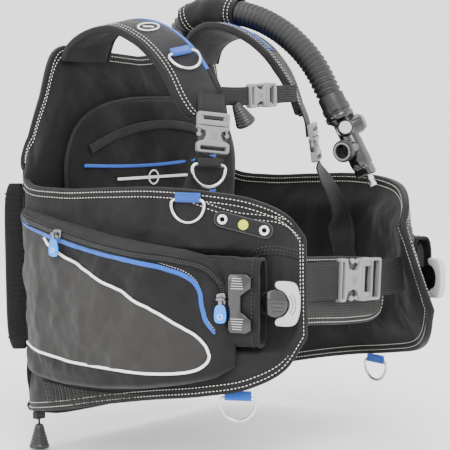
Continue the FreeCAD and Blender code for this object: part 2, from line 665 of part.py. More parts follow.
# ---------------------------------------------------------------- tank band, buckle, backplate
def make_tank_side():
    ring = rod("band_outer", "Sizes.tank_radius + Sizes.band_thickness", "Sizes.band_height",
               ("0", "0", "-Sizes.band_height / 2"))
    hole = rod("band_inner", "Sizes.tank_radius", "Sizes.band_height + 2",
               ("0", "0", "-Sizes.band_height / 2 - 1"))
    keep("tank_band", carve("tank_band_ring", ring, [hole]))

    outer = "(Sizes.tank_radius + Sizes.band_thickness + 0.2)"
    base = block("cam_base", ("Sizes.cam_length", "Sizes.cam_depth", "Sizes.cam_width"),
                 ("0", f"{outer} + Sizes.cam_depth / 2", "0"))
    curve = rod("cam_curve", outer, "Sizes.cam_width + 2", ("0", "0", "-Sizes.cam_width / 2 - 1"))
    ears = [block(f"cam_ear_{word}", ("12", "12", "5"),
                  ("-Sizes.cam_length / 2 + 7", f"{outer} + Sizes.cam_depth + 5",
                   f"{sign} * (Sizes.cam_width / 2 - 2.5)"))
            for word, sign in (("a", "-1"), ("b", "1"))]
    pin = rod("cam_pin", "Sizes.lever_pin_radius", "Sizes.cam_width",
              ("-Sizes.cam_length / 2 + 7", f"{outer} + Sizes.cam_depth + 6",
               "-Sizes.cam_width / 2"))
    keep("cam_buckle_body", join("cam_body", [carve("cam_plate", base, [curve])] + ears + [pin]))
    barrel = rod("lever_barrel", "Sizes.lever_pin_radius + 2.6", "Sizes.cam_width - 11",
                 ("0", "0", "-(Sizes.cam_width - 11) / 2"))
    handle = block("lever_plate", ("Sizes.lever_length", "Sizes.lever_thickness",
                                   "Sizes.cam_width - 11"), ("Sizes.lever_length / 2 + 2", "0", "0"))
    eye = rod("lever_eye", "Sizes.lever_pin_radius + Sizes.running_gap", "Sizes.cam_width",
              ("0", "0", "-Sizes.cam_width / 2"))
    keep("cam_buckle_lever", carve("lever", join("lever_solid", [barrel, handle]), [eye]),
         FreeCAD.Placement(V(7 - size("cam_length") / 2,
                             size("tank_radius") + size("band_thickness") + 0.2
                             + size("cam_depth") + 6, 0), FreeCAD.Rotation()))

    front = "-(Sizes.shell_back - 0.3) + Sizes.plate_thickness / 2"
    plate = block("plate_block", ("Sizes.plate_width", "Sizes.plate_thickness",
                                  "Sizes.plate_height"), ("0", front, "Sizes.plate_middle"))
    window = block("plate_window", ("Sizes.plate_width * 0.4", "Sizes.plate_thickness + 2", "70"),
                   ("0", front, "-95"))
    keep("backplate", carve("plate", plate, [window]))
    grip = block("carry_block", ("120", "10", "34"), ("0", "-101", "205"))
    hole = block("carry_gap", ("96", "12", "22"), ("0", "-101", "203"))
    keep("carry_handle", carve("carry_loop", grip, [hole]))


# ---------------------------------------------------------------- fittings on the soft parts
CUMMERBUND = [(-193, -300), (-187, -350), (-172, -395), (-146, -436), (-105, -464),
              (-50, -474), (30, -478), (84, -477), (112, -474)]
CUMMERBUND_TOP = [-22, -20, -19, -19, -20, -23, -29, -36, -56]
CUMMERBUND_BOTTOM = [-104, -106, -108, -110, -111, -114, -121, -122, -104]
WAIST_WEB = {"right": [(-176, -400, -60), (-149, -440, -58), (-106, -468, -56),
                       (-55, -479, -55), (-16.5, -489, -56)],
             "left": [(35, -482.4, -59), (100, -483.6, -63), (118, -485, -63), (141, -487, -61)]}
STERNUM_WEB = {"right": [(-83, -343, 188), (-62, -349, 187.5), (-39.6, -353, 187.9)],
               "left": [(-1, -345.2, 189), (34, -344.6, 190), (60, -343.8, 191), (83, -341, 191)]}
# The strap that runs behind each shoulder plug, up to the shoulder pad, in the buckle's frame.
SHOULDER_LINK = [(0, 8, 1), (0, 8, 24), (0, 13, 46)]
FRONT = (0, -1, 0)


def webbing_group(node, runs, width, faces=None, extra=()):
    shapes = []
    for key, points in runs:
        face = faces[key] if faces else [FRONT] * len(points)
        web = make_webbing([V(*point) for point in points], width,
                           [V(*direction) for direction in face])
        shapes.append(web.cut(NODES[key + "_lobe"].Shape).cut(NODES["cummerbund"].Shape))
    soft(node, Part.makeCompound(shapes + list(extra)))


def make_belts():
    sections = []
    for index, (x, y) in enumerate(CUMMERBUND):
        before, after = CUMMERBUND[max(index - 1, 0)], CUMMERBUND[min(index + 1,
                                                                      len(CUMMERBUND) - 1)]
        run = V(after[0] - before[0], after[1] - before[1], 0).normalize()
        inside = V(-run.y, run.x, 0) * size("cummerbund_thickness")
        sections.append(section(V(x, y, CUMMERBUND_TOP[index]), V(x, y, CUMMERBUND_BOTTOM[index]),
                                inside))
    soft("cummerbund", loft(sections))
    webbing_group("waist_webbing", WAIST_WEB.items(), size("wide_web"))
    webbing_group("sternum_webbing", STERNUM_WEB.items(), size("small_web"))
    links = []
    for word in SIDES:
        placement = pose(*SHOULDER_BUCKLE[word])
        points = [placement.multVec(V(*point)) for point in SHOULDER_LINK]
        link = make_webbing(points, size("chest_web"), [SHOULDER_BUCKLE[word][2]] * 3)
        links.append(link.cut(NODES[word + "_shoulder_strap"].Shape))
    webbing_group("chest_webbing", CHEST_WEB.items(), size("chest_web"), CHEST_FACE, links)


def make_buckles():
    for word in SIDES:
        make_buckle(word + "_shoulder", "chest_web", pose(*SHOULDER_BUCKLE[word]), 36, 18)
    make_buckle("sternum", "small_web", pose(*STERNUM_BUCKLE), 36, 24)
    make_buckle("waist", "wide_web", pose(*WAIST_BUCKLE), 48, 44)


RINGS = {
    "right_shoulder_ring": (strap_pose(5.25, RIGHT, 4.6), 30),
    "right_chest_ring": (pose(V(-128, -360, 98), V(0.08, 0, 1), V(-0.5, -0.85, 0)), 32),
    "right_lobe_ring": (wall_pose(4.75, 58, RIGHT, 4.4), 34),
    "left_lobe_ring": (wall_pose(4.75, 58, LEFT, 4.4), 34),
    "right_bottom_ring": (edge_pose(5.75, RIGHT, -13, -9), 34),
    "left_bottom_ring": (edge_pose(4.6, LEFT, -13, -9), 34),
}


def make_rings():
    loops = []
    for node, (placement, length) in RINGS.items():
        make_ring(node, placement)
        loops.append(make_loop(node, placement, length))
    keep("ring_loops", compound("ring_loop_group", loops))


def make_knife_plate():
    placement = wall_pose(5.85, 28, RIGHT, size("knife_thickness") / 2 + 2.5, 14)
    plate = block("knife_block", ("Sizes.knife_length", "Sizes.knife_thickness",
                                  "Sizes.knife_height"))
    holes = [rod(f"knife_hole_{word}", "Sizes.grommet_radius", "10",
                 (f"{sign} * Sizes.knife_length * 0.36", "-5", "0"), "y")
             for word, sign in (("a", "-1"), ("b", "1"))]
    keep("knife_plate", carve("knife_cut", plate, holes), placement)
    face = "-Sizes.knife_thickness / 2 - 1.2"
    rims = []
    for word, sign in (("a", "-1"), ("b", "1")):
        at = (f"{sign} * Sizes.knife_length * 0.36", face, "0")
        rim = rod(f"grommet_{word}", "Sizes.grommet_radius + 2.4", "1.2", at, "y")
        hole = rod(f"grommet_hole_{word}", "Sizes.grommet_radius - 0.8", "4",
                   (at[0], f"{face} - 1", "0"), "y")
        rims.append(carve(f"grommet_rim_{word}", rim, [hole]))
    rims.append(rod("marker_disc", "6.5", "1.2", ("0", face, "0"), "y"))
    keep("knife_grommets", compound("grommet_group", rims), placement)


def slider_pose(which, side):
    """Local Z runs along the zip, local -Y points out of the pocket."""
    if which == "rear":
        a, b, share = zip_point(1, side, 0), zip_point(2, side, 0), 0.12
        u = 2.4
    else:
        a, b, share = zip_point(7, side, 0), zip_point(6, side, 0), 0.15
        u = 5.48
    at = a * (1 - share) + b * share
    out = wall_out(u, side)
    lift = 0.3 + size("zip_thickness") + 0.9 + size("slider_depth") / 2
    return pose(at + out * lift, b - a, out)


def make_sliders():
    for word, side in SIDES.items():
        for which in ("rear", "front") if side == RIGHT else ("rear",):
            name = f"{word}_{which}_zip"
            body = block(name + "_body", ("Sizes.slider_width", "Sizes.slider_depth",
                                          "Sizes.slider_length"))
            reach = size("slider_depth") / 2 + 5.5
            placement = slider_pose(which, side)
            hang = pose(placement.multVec(V(0, -reach, 0)), UP,
                        placement.Rotation.multVec(V(0, -1, 0)))
            relative = placement.inverse().multiply(hang)
            arms = [block(f"{name}_arm_{hand}", ("1.6", str(reach), "3"),
                          (f"{sign} * 4.6", f"{reach} / 2", "0"))
                    for hand, sign in (("a", "-1"), ("b", "1"))]
            pin = rod(name + "_pin", "Sizes.pull_pin_radius", "10", ("-5", "0", "0"), "x")
            fork = moved(name + "_fork", join(name + "_fork_solid", arms + [pin]), relative)
            slider = join(name + "_solid", [body, fork])

            tab = block(name + "_tab", ("Sizes.pull_width", "Sizes.pull_thickness",
                                        "Sizes.pull_length - 4"),
                        ("0", "0", "-Sizes.pull_length / 2 - 5"))
            neck = block(name + "_neck", ("6", "Sizes.pull_thickness", "6"), ("0", "0", "-4"))
            eye = rod(name + "_eye", "Sizes.pull_pin_radius + 1.4", "6", ("-3", "0", "0"), "x")
            bore = rod(name + "_bore", "Sizes.pull_pin_radius + Sizes.running_gap", "16",
                       ("-8", "0", "0"), "x")
            pull = carve(name + "_pull_cut", join(name + "_pull_solid", [tab, neck, eye]), [bore])
            if side == RIGHT:
                keep(name + "_slider", slider, placement)
                keep(name + "_pull", pull, hang)
            else:
                keep(name + "_slider", compound(name + "_set", [
                    slider, moved(name + "_hang", pull, relative)]), placement)


def sleeve_room(side, ahead):
    """The space of a weight sleeve, run out ahead of its mouth by the given length."""
    length, depth, height = (size("sleeve_length") + ahead, size("sleeve_depth"),
                             size("sleeve_height"))
    room = Part.makeBox(length, depth, height, V(-length / 2, -depth / 2, -height / 2))
    room.Placement = sleeve_pose(side, size("sleeve_length") - length / 2)
    return room


def make_soft_parts():
    shell = make_back_shell()
    soft("back_shell", shell)
    cord_room = Part.makeCylinder(size("cord_radius") + 0.7, 40,
                                  V(LOWER_CORD.x, LOWER_CORD.y, LOWER_GUIDE_TOP - 24))
    zips = []
    for word, side in SIDES.items():
        room = sleeve_room(side, 0)
        wall = make_lobe(side)
        lobe = wall.cut(sleeve_room(side, size("recess_length"))).cut(shell)
        soft(word + "_lobe", lobe.cut(cord_room) if side == RIGHT else lobe)
        pocket = make_pocket(side).cut(wall).cut(room)
        soft(word + "_cargo_pocket", pocket)
        soft(word + "_shoulder_strap", make_strap(side).cut(shell))
        make_weight_system(word, side)
        zips.append(make_zip(side).cut(pocket).cut(room))
    soft("zip_tapes", Part.makeCompound(zips))
    make_latches()
    make_back_pad()


def check_and_export():
    doc.recompute()
    for item in doc.Objects:
        if {"Invalid", "Error"} & set(item.State):
            raise RuntimeError(f"{item.Name} did not build: {item.State}")
    os.makedirs("parts", exist_ok=True)
    for node, piece in NODES.items():
        shape = piece.Shape
        if shape.isNull() or not shape.isValid() or not shape.Solids:
            raise RuntimeError(f"{node} has no valid solid")
        shape.exportStep(f"parts/{node}.step")
    print(len(NODES), "sub-parts")


make_soft_parts()
make_tank_side()
make_belts()
make_buckles()
make_rings()
make_knife_plate()
make_sliders()
make_inflator()
make_hose()
make_dump_valves()
check_and_export()
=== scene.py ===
import math

import bmesh
import bpy
import numpy as np
from bpy.props import FloatProperty, FloatVectorProperty, PointerProperty
from mathutils import Matrix, Vector, noise


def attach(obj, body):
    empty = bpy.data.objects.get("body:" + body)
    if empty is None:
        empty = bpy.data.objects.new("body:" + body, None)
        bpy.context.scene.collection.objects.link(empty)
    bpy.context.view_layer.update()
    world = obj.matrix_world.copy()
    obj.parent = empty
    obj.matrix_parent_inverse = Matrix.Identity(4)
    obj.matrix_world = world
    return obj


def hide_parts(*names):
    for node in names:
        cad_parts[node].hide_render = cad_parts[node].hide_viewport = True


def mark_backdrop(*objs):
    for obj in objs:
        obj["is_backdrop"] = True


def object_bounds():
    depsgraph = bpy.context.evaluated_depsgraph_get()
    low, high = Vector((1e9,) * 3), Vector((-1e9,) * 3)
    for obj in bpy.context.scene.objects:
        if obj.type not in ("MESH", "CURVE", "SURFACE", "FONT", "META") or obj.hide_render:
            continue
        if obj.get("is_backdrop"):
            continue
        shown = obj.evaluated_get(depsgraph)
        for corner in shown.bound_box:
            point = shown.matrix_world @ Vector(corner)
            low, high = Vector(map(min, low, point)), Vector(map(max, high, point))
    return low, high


bl_info = {
    "name": "Buoyancy Vest",
    "version": (1, 0, 0),
    "blender": (4, 5, 0),
    "location": "3D View > Sidebar > Vest",
    "description": "Builds the cloth, webbing, hose and fittings of a diver's buoyancy vest",
    "category": "Add Mesh",
}

# The wearer's left is +X, the chest faces -Y and +Z is up. Tables are in millimetres.
MM = 0.001
RIGHT, LEFT = -1, 1
SIDES = {"right": RIGHT, "left": LEFT}
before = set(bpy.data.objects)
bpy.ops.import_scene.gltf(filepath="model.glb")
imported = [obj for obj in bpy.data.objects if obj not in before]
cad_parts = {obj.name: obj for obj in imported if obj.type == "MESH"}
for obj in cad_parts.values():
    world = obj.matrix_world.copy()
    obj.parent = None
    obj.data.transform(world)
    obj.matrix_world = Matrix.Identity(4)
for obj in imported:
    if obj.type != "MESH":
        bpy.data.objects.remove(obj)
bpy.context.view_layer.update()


def linear(code):
    """An sRGB hex colour as linear red, green and blue."""
    parts = [int(code[at:at + 2], 16) / 255 for at in (1, 3, 5)]
    return tuple(c / 12.92 if c <= 0.04045 else ((c + 0.055) / 1.055) ** 2.4 for c in parts)


def colour_prop(name, code, description):
    return FloatVectorProperty(name=name, description=description, subtype="COLOR", size=3,
                               min=0, max=1, default=linear(code))


def length_prop(name, millimetres, description):
    return FloatProperty(name=name, description=description, subtype="DISTANCE", unit="LENGTH",
                         min=0, default=millimetres * MM)


class VestColours(bpy.types.PropertyGroup):
    """The colours of the cloths and plastics."""
    shell: colour_prop("Shell cloth", "#0c0c0e", "Coated nylon of the lobes and pockets")
    panel: colour_prop("Grey panel", "#2b2a29", "Grey polyester panel on the cargo pockets")
    strap: colour_prop("Strap cloth", "#171719", "Face cloth of the shoulder straps")
    lining: colour_prop("Lining", "#080808", "Brushed lining on the inside of the vest")
    blue: colour_prop("Trim blue", "#0552b4", "Trims, ring sleeves and zip pulls")
    piping: colour_prop("Piping", "#f1f1ef", "Raised piping round the grey panels")
    thread: colour_prop("Thread", "#d9d6cb", "Sewing thread")
    pale_plastic: colour_prop("Pale plastic", "#77787a", "Buckles and weight grips")
    dark_plastic: colour_prop("Dark plastic", "#17181a", "Knobs, latches, valves")


class VestSizes(bpy.types.PropertyGroup):
    """The sizes of what repeats and of the edges."""
    stitch: length_prop("Stitch length", 3.4, "Length of one visible stitch")
    stitch_pitch: length_prop("Stitch pitch", 5.0, "Distance from one stitch to the next")
    thread: length_prop("Thread radius", 0.62, "Half the thickness of the sewing thread")
    binding: length_prop("Binding width", 15.0, "Width of the tape that binds the edges")
    edge: length_prop("Edge thickness", 7.0, "Thickness of the cloth layers at an edge")
    ring_pitch: length_prop("Hose ring pitch", 8.2, "Distance between the hose's rings")
    tooth_pitch: length_prop("Zip tooth pitch", 2.6, "Distance between zip teeth")


# ------------------------------------------------------------------ curves and surfaces
def through(rows, at):
    """A smooth curve through the rows, read at fractional row numbers."""
    rows = np.asarray(rows, float)
    flat = rows.reshape(len(rows), -1)
    at = np.clip(np.asarray(at, float), 0, len(rows) - 1)
    gap = np.maximum(np.linalg.norm(np.diff(flat, axis=0), axis=1), 1e-9) ** 0.7
    slope = np.diff(flat, axis=0) / gap[:, None]
    tangent = np.empty_like(flat)
    tangent[0], tangent[-1] = slope[0], slope[-1]
    total = (gap[:-1] + gap[1:])[:, None]
    tangent[1:-1] = (slope[:-1] * gap[1:, None] + slope[1:] * gap[:-1, None]) / total
    index = np.minimum(at.astype(int), len(rows) - 2)
    f = (at - index)[..., None]
    h = gap[index][..., None]
    a, b, ta, tb = flat[index], flat[index + 1], tangent[index] * h, tangent[index + 1] * h
    value = (a * (2 * f ** 3 - 3 * f ** 2 + 1) + ta * (f ** 3 - 2 * f ** 2 + f)
             + b * (3 * f ** 2 - 2 * f ** 3) + tb * (f ** 3 - f ** 2))
    return value.reshape(at.shape + rows.shape[1:])


def unit(vectors):
    vectors = np.asarray(vectors, float)
    return vectors / np.maximum(np.linalg.norm(vectors, axis=-1, keepdims=True), 1e-12)


def even(points, count):
    """The points of a line, respaced evenly."""
    points = np.asarray(points, float)
    run = np.concatenate([[0], np.cumsum(np.linalg.norm(np.diff(points, axis=0), axis=1))])
    at = np.linspace(0, run[-1], count)
    return np.stack([np.interp(at, run, points[:, k]) for k in range(points.shape[1])], 1)


def trail(points, count=80):
    """A smooth evenly spaced line through (station, height) points of a side wall."""
    points = np.asarray(points, float) * (70, 1)
    fine = through(points, np.linspace(0, len(points) - 1, count * 4))
    return even(fine, count) / (70, 1)


def smooth_step(x):
    x = np.clip(x, 0, 1)
    return x * x * (3 - 2 * x)


# Half of the vest's outer wall, from the middle of the back round to the front edge at +X:
# (top point, bottom point). Station 5 is the corner between the back and the side lobe.
CORNER = 5
WALL = np.array([
    ((0, -107, 243), (0, -107, -262)), ((88, -107, 249), (88, -107, -262)),
    ((164, -106, 249), (160, -106, -260)), ((183, -102, 189), (180, -103, -257)),
    ((196, -94, 134), (192, -96, -254)), ((205, -86, 88), (200, -88, -252)),
    ((225, -112, 68), (219, -116, -248)), ((231, -180, 62), (231, -184, -235)),
    ((231, -262, 66), (235, -268, -216)), ((224, -345, 70), (231, -350, -200)),
    ((206, -415, 67), (219, -425, -188)), ((172, -468, 57), (197, -484, -174)),
    ((140, -496, 38), (170, -516, -152)), ((114, -506, 8), (150, -536, -110))], float)
DEPTH = [26] * 12 + [20, 12]
STRAP = np.array([
    ((84, -124, 240), (164, -118, 240)), ((80, -135, 274), (161, -130, 262)),
    ((78, -166, 295), (156, -158, 279)), ((76, -207, 296), (151, -200, 285)),
    ((76, -254, 280), (146, -244, 268)), ((78, -292, 255), (143, -273, 245)),
    ((80, -321, 224), (141, -295, 219)), ((84, -341, 192), (138, -312, 187)),
    ((92, -346, 166), (130, -326, 162))], float)
STRAP_DEPTH = 13
# (station, top height, bottom height, depth) of the cargo pocket that stands on a lobe
POCKET = np.array([
    (0.9, 36, -192, 5), (1.5, 30, -196, 18), (2.3, 20, -198, 26), (3.2, 8, -194, 32),
    (4.0, 0, -186, 36), (4.7, -5, -176, 30), (5.3, -14, -165, 20), (5.7, -34, -150, 8)])
ZIP = [(1.3, 22), (2.3, 9), (3.2, -3), (4.0, -11), (4.7, -16), (5.2, -26), (5.45, -46),
       (5.5, -66)]
# weight pocket: the slide's direction, the sleeve's mouth and its outward direction, at +X
SLIDE = np.array((0.337, 0.9415, 0))
GRIP = np.array((172, -523, -68.0))
MOUTH = GRIP + (10.8, 30.1, 0)
SLEEVE_OUT = np.array((0.9415, -0.337, 0))


def side_of(points, side):
    return points * (side, 1, 1)


def wall_edges(w):
    both = through(WALL, w)
    return both[..., 0, :], both[..., 1, :]


def wall_in(w):
    """The horizontal direction into the vest."""
    ahead = sum(wall_edges(np.asarray(w, float) + 0.06))
    behind = sum(wall_edges(np.asarray(w, float) - 0.06))
    run = ahead - behind
    return unit(np.stack([run[..., 1], -run[..., 0], 0 * run[..., 0]], -1))


def wall_point(w, z, side=LEFT, out=0.0):
    """Points of the wall at the stations and heights, moved out of the vest."""
    w, z, out = np.broadcast_arrays(np.asarray(w, float), z, out)
    top, bottom = wall_edges(w)
    share = (top[..., 2] - z) / (top[..., 2] - bottom[..., 2])
    point = top + (bottom - top) * share[..., None] - wall_in(w) * out[..., None]
    return side_of(point, side)


def lobe_point(u, z, side, out=0.0):
    return wall_point(np.asarray(u) + CORNER, z, side, out)


def crumple(points, size, depth, seed=0.0):
    """Soft creases: signed noise at the points, of that size and depth in millimetres."""
    shape = points.shape[:-1]
    flat = (points.reshape(-1, 3) / size + seed).tolist()
    values = [noise.turbulence(p, 3, False, noise_basis="PERLIN_ORIGINAL") for p in flat]
    return np.array(values).reshape(shape) * depth


def sleeve_dent(points):
    """How far a lobe's face is pressed in, so that the weight sleeve lies in a recess."""
    local = points - MOUTH
    along, outward = local @ SLIDE, local @ SLEEVE_OUT
    window = (smooth_step((along + 46) / 24) * smooth_step((186 - along) / 24)
              * smooth_step((66 - abs(local[..., 2])) / 14))
    return np.maximum(outward + 18.5, 0) * window


def edge_gap(w, z):
    top, bottom = wall_edges(w)
    ends = 60 * (len(WALL) - 1 - w)
    return np.minimum(np.minimum(top[..., 2] - z, z - bottom[..., 2]), ends + 2)


def swell(w, z, side):
    """How far a face stands proud between its bound edges."""
    rise = smooth_step(edge_gap(w, z) / 50)
    crease = crumple(wall_point(w, z, LEFT), 46, 5.0, seed=3.1 * side)
    return rise * (1.5 + (crease - 1.2) * smooth_step((w - CORNER) / 1.5))


def outer_face(w, z, side, lift=0.0):
    w, z = np.broadcast_arrays(np.asarray(w, float), z)
    proud = swell(w, z, side)
    flat = wall_point(w, z, LEFT, proud)
    return wall_point(w, z, side, proud - sleeve_dent(flat) + lift)


def inner_face(w, z, side, lift=0.0):
    w, z = np.broadcast_arrays(np.asarray(w, float), z)
    edge = sizes().edge / MM
    depth = np.interp(w, np.arange(len(DEPTH)), DEPTH)
    thick = edge + (depth - edge) * smooth_step(edge_gap(w, z) / 55)
    crease = crumple(wall_point(w, z, LEFT), 60, 5.0, seed=9.7 + side)
    return wall_point(w, z, side, -thick - lift + crease * smooth_step(edge_gap(w, z) / 60))


def pocket_row(u):
    return [np.interp(u, POCKET[:, 0], POCKET[:, k]) for k in (1, 2, 3)]


def pocket_out(u, z):
    """How far the cargo pocket's face stands off the wall: quick round edges, a full middle."""
    top, bottom, depth = pocket_row(u)
    near = np.clip(np.minimum(top - z, z - bottom) / 11, 0, 1)
    rise = np.sqrt(1 - (1 - near) ** 2)
    middle = np.clip((top - z) / (top - bottom), 0, 1)
    bulge = 7 * np.sin(np.pi * middle) * np.clip((u - 0.9) * 1.2, 0, 1) * np.clip((5.7 - u), 0, 1)
    return depth * rise + bulge


def pocket_face(u, z, side, lift=0.0):
    u, z = np.broadcast_arrays(np.asarray(u, float), z)
    base = lobe_point(u, z, LEFT)
    top, bottom, _ = pocket_row(u)
    inside = smooth_step(np.minimum(top - z, z - bottom) / 40)
    crease = (crumple(base, 38, 5.5, seed=5.0 + side) - 1.8) * inside
    return lobe_point(u, z, side, pocket_out(u, z) + crease + lift)


# ------------------------------------------------------------------ meshes
def skin(rings, closed=False):
    """Vertices, faces and UVs in metres of a skin over rings of points."""
    rings = np.asarray(rings, float)
    n, m = rings.shape[:2]
    around = np.concatenate([rings, rings[:, :1]], 1)
    v = np.concatenate([[0], np.cumsum(np.linalg.norm(np.diff(around, axis=1), axis=2).mean(0))])
    loop = np.concatenate([rings, rings[:1]], 0) if closed else rings
    u = np.concatenate([[0], np.cumsum(np.linalg.norm(np.diff(loop, axis=0), axis=2).mean(1))])
    i, j = np.meshgrid(np.arange(n if closed else n - 1), np.arange(m), indexing="ij")
    i, j = i.ravel(), j.ravel()
    i2, j2 = (i + 1) % n, (j + 1) % m
    faces = np.stack([i * m + j, i * m + j2, i2 * m + j2, i2 * m + j], 1)
    uv = np.stack([np.stack([u[i], v[j]], 1), np.stack([u[i], v[j + 1]], 1),
                   np.stack([u[i + 1], v[j + 1]], 1), np.stack([u[i + 1], v[j]], 1)], 1)
    return rings.reshape(-1, 3), faces.tolist(), uv.reshape(-1, 2) * MM


def skin_mesh(rings, closed=False):
    """A closed mesh, in millimetres, over closed rings; open ends get flat caps."""
    verts, faces, uv = skin(rings, closed)
    n, m = len(rings), len(rings[0])
    if not closed:
        faces = faces + [list(range(m))[::-1], list(range((n - 1) * m, n * m))]
        uv = np.concatenate([uv, np.zeros((2 * m, 2))])
    mesh = bpy.data.meshes.new("skin")
    mesh.from_pydata(verts.tolist(), [], faces)
    mesh.uv_layers.new(name="UVMap").data.foreach_set("uv", uv.ravel())
    return mesh


def rings_round(centre, a_axis, b_axis, half_a, half_b, power=2.0, points=16):
    """Rings of a rounded section whose half sizes lie on the two axes."""
    angle = np.linspace(0, 2 * math.pi, points, endpoint=False) + math.pi / points
    c, s = np.cos(angle), np.sin(angle)
    ca, sa = np.sign(c) * abs(c) ** (2 / power), np.sign(s) * abs(s) ** (2 / power)
    half_a = np.broadcast_to(half_a, len(centre))[:, None, None]
    half_b = np.broadcast_to(half_b, len(centre))[:, None, None]
    return (centre[:, None] + a_axis[:, None] * ca[None, :, None] * half_a
            + b_axis[:, None] * sa[None, :, None] * half_b)


def run_of(points, closed=False):
    if closed:
        return unit(np.roll(points, -1, 0) - np.roll(points, 1, 0))
    return unit(np.gradient(points, axis=0))


def ribbon_rings(points, facing, half_width, half_depth, power=2.0, count=16):
    """Rings of a band along the points; facing is its outward direction at each of them."""
    run = run_of(points)
    across = unit(np.cross(facing, run))
    return rings_round(points, across, np.cross(run, across), half_width, half_depth, power,
                       count)


def tube_rings(points, radius, count=14, closed=False):
    run = run_of(points, closed)
    lean = [unit(np.cross(run[0], (0.3, 0.2, 0.9)))]
    for direction in run[1:]:
        lean.append(unit(lean[-1] - direction * np.dot(lean[-1], direction)))
    lean = np.array(lean)
    return rings_round(points, lean, np.cross(run, lean), radius, radius, 2.0, count)


class Piece:
    """One visible piece, put together from meshes that are drawn in millimetres."""

    def __init__(self, name):
        self.name, self.shape, self.materials = name, bmesh.new(), []

    def add(self, mesh, material, place=None):
        mesh.transform((place or Matrix.Identity(4)))
        mesh.transform(Matrix.Scale(MM, 4))
        if material not in self.materials:
            self.materials.append(material)
        start = len(self.shape.faces)
        self.shape.from_mesh(mesh)
        self.shape.faces.ensure_lookup_table()
        for face in self.shape.faces[start:]:
            face.material_index = self.materials.index(material)
        bpy.data.meshes.remove(mesh)
        return self

    def finish(self, body="root", slot=None, replaces=(), sharp=38):
        """Turns the faces outwards, makes the object and lets it ride on the body."""
        bmesh.ops.remove_doubles(self.shape, verts=self.shape.verts, dist=2e-6)
        bmesh.ops.recalc_face_normals(self.shape, faces=self.shape.faces)
        mesh = bpy.data.meshes.new(self.name)
        self.shape.to_mesh(mesh)
        self.shape.free()
        for material in self.materials:
            mesh.materials.append(MATERIALS[material])
        mesh.shade_smooth()
        mesh.set_sharp_from_angle(angle=math.radians(sharp))
        made = bpy.data.objects.new(self.name, mesh)
        bpy.context.scene.collection.objects.link(made)
        return settle(made, body, replaces)


def settle(made, body, replaces):
    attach(made, body)
    if replaces:
        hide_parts(*replaces)
    return made


def plate(loops, depth, bevel=0.8):
    """A plate with rounded edges in the local XZ plane; loops are its outline and its holes."""
    curve = bpy.data.curves.new("plate", "CURVE")
    curve.dimensions, curve.fill_mode = "2D", "BOTH"
    curve.extrude = depth / 2 - bevel
    curve.bevel_depth, curve.bevel_resolution, curve.offset = bevel, 2, -bevel
    for loop in loops:
        spline = curve.splines.new("POLY")
        spline.points.add(len(loop) - 1)
        spline.points.foreach_set("co", [v for x, z in loop for v in (x, z, 0, 1)])
        spline.use_cyclic_u = True
    holder = bpy.data.objects.new("plate", curve)
    mesh = bpy.data.meshes.new_from_object(holder)
    mesh.transform(Matrix.Rotation(math.pi / 2, 4, "X"))
    bpy.data.objects.remove(holder)
    bpy.data.curves.remove(curve)
    return mesh


def turned(profile, count=40):
    """A round part about local Z from (radius, height) points; it closes on the axis."""
    angle = np.linspace(0, 2 * math.pi, count, endpoint=False)
    rings = [np.stack([r * np.cos(angle), r * np.sin(angle), np.full(count, h)], 1)
             for r, h in profile]
    return skin_mesh(rings)


def oblong(width, height, radius, x=0.0, z=0.0, steps=6):
    """A rounded rectangle's outline."""
    radius = min(radius, width / 2 - 0.01, height / 2 - 0.01)
    points = []
    for quarter, (sx, sz) in enumerate(((1, 1), (-1, 1), (-1, -1), (1, -1))):
        for step in range(steps + 1):
            angle = math.pi / 2 * (quarter + step / steps)
            points.append((x + sx * (width / 2 - radius) + radius * math.cos(angle),
                           z + sz * (height / 2 - radius) + radius * math.sin(angle)))
    return points


def arc(radius, start, stop, count, x=0.0, z=0.0):
    """Points of an arc between two angles, turning either way."""
    return [(x + radius * math.cos(a), z + radius * math.sin(a))
            for a in np.linspace(start, stop, count)]


def rounded(points, count=60):
    """A closed smooth outline through the points."""
    points = [tuple(p) for p in points]
    ring = np.array(points[-2:] + points + points[:3], float)
    return through(ring, np.linspace(2, len(points) + 2, count, endpoint=False)).tolist()


def mirror_loop(points):
    return [(-x, z) for x, z in reversed(points)]


def pose(at, up, out):
    """The matrix of a place whose local Z is up and whose local -Y is out, in millimetres."""
    z_axis = Vector(up).normalized()
    y_axis = -Vector(out)
    y_axis = (y_axis - z_axis * y_axis.dot(z_axis)).normalized()
    turn = Matrix((y_axis.cross(z_axis), y_axis, z_axis)).transposed().to_4x4()
    return Matrix.Translation(Vector(at)) @ turn


def mirrored(point, side):
    return Vector((side * point[0], point[1], point[2]))


# ------------------------------------------------------------------ repeating work
def add(tree, kind, inputs=None, **settings):
    """Adds one node; its inputs take plain values or the sockets that they are linked to."""
    made = tree.nodes.new(kind)
    for key, value in settings.items():
        setattr(made, key, value)
    for key, value in (inputs or {}).items():
        if isinstance(value, bpy.types.NodeSocket):
            tree.links.new(value, made.inputs[key])
        else:
            made.inputs[key].default_value = value
    return made


def new_tree(name, inputs):
    tree = bpy.data.node_groups.new(name, "GeometryNodeTree")
    tree.interface.new_socket("Path", in_out="INPUT", socket_type="NodeSocketGeometry")
    for label, kind, value in inputs:
        socket = tree.interface.new_socket(label, in_out="INPUT", socket_type=kind)
        if value is not None:
            socket.default_value = value
    tree.interface.new_socket("Geometry", in_out="OUTPUT", socket_type="NodeSocketGeometry")
    return tree, add(tree, "NodeGroupInput").outputs


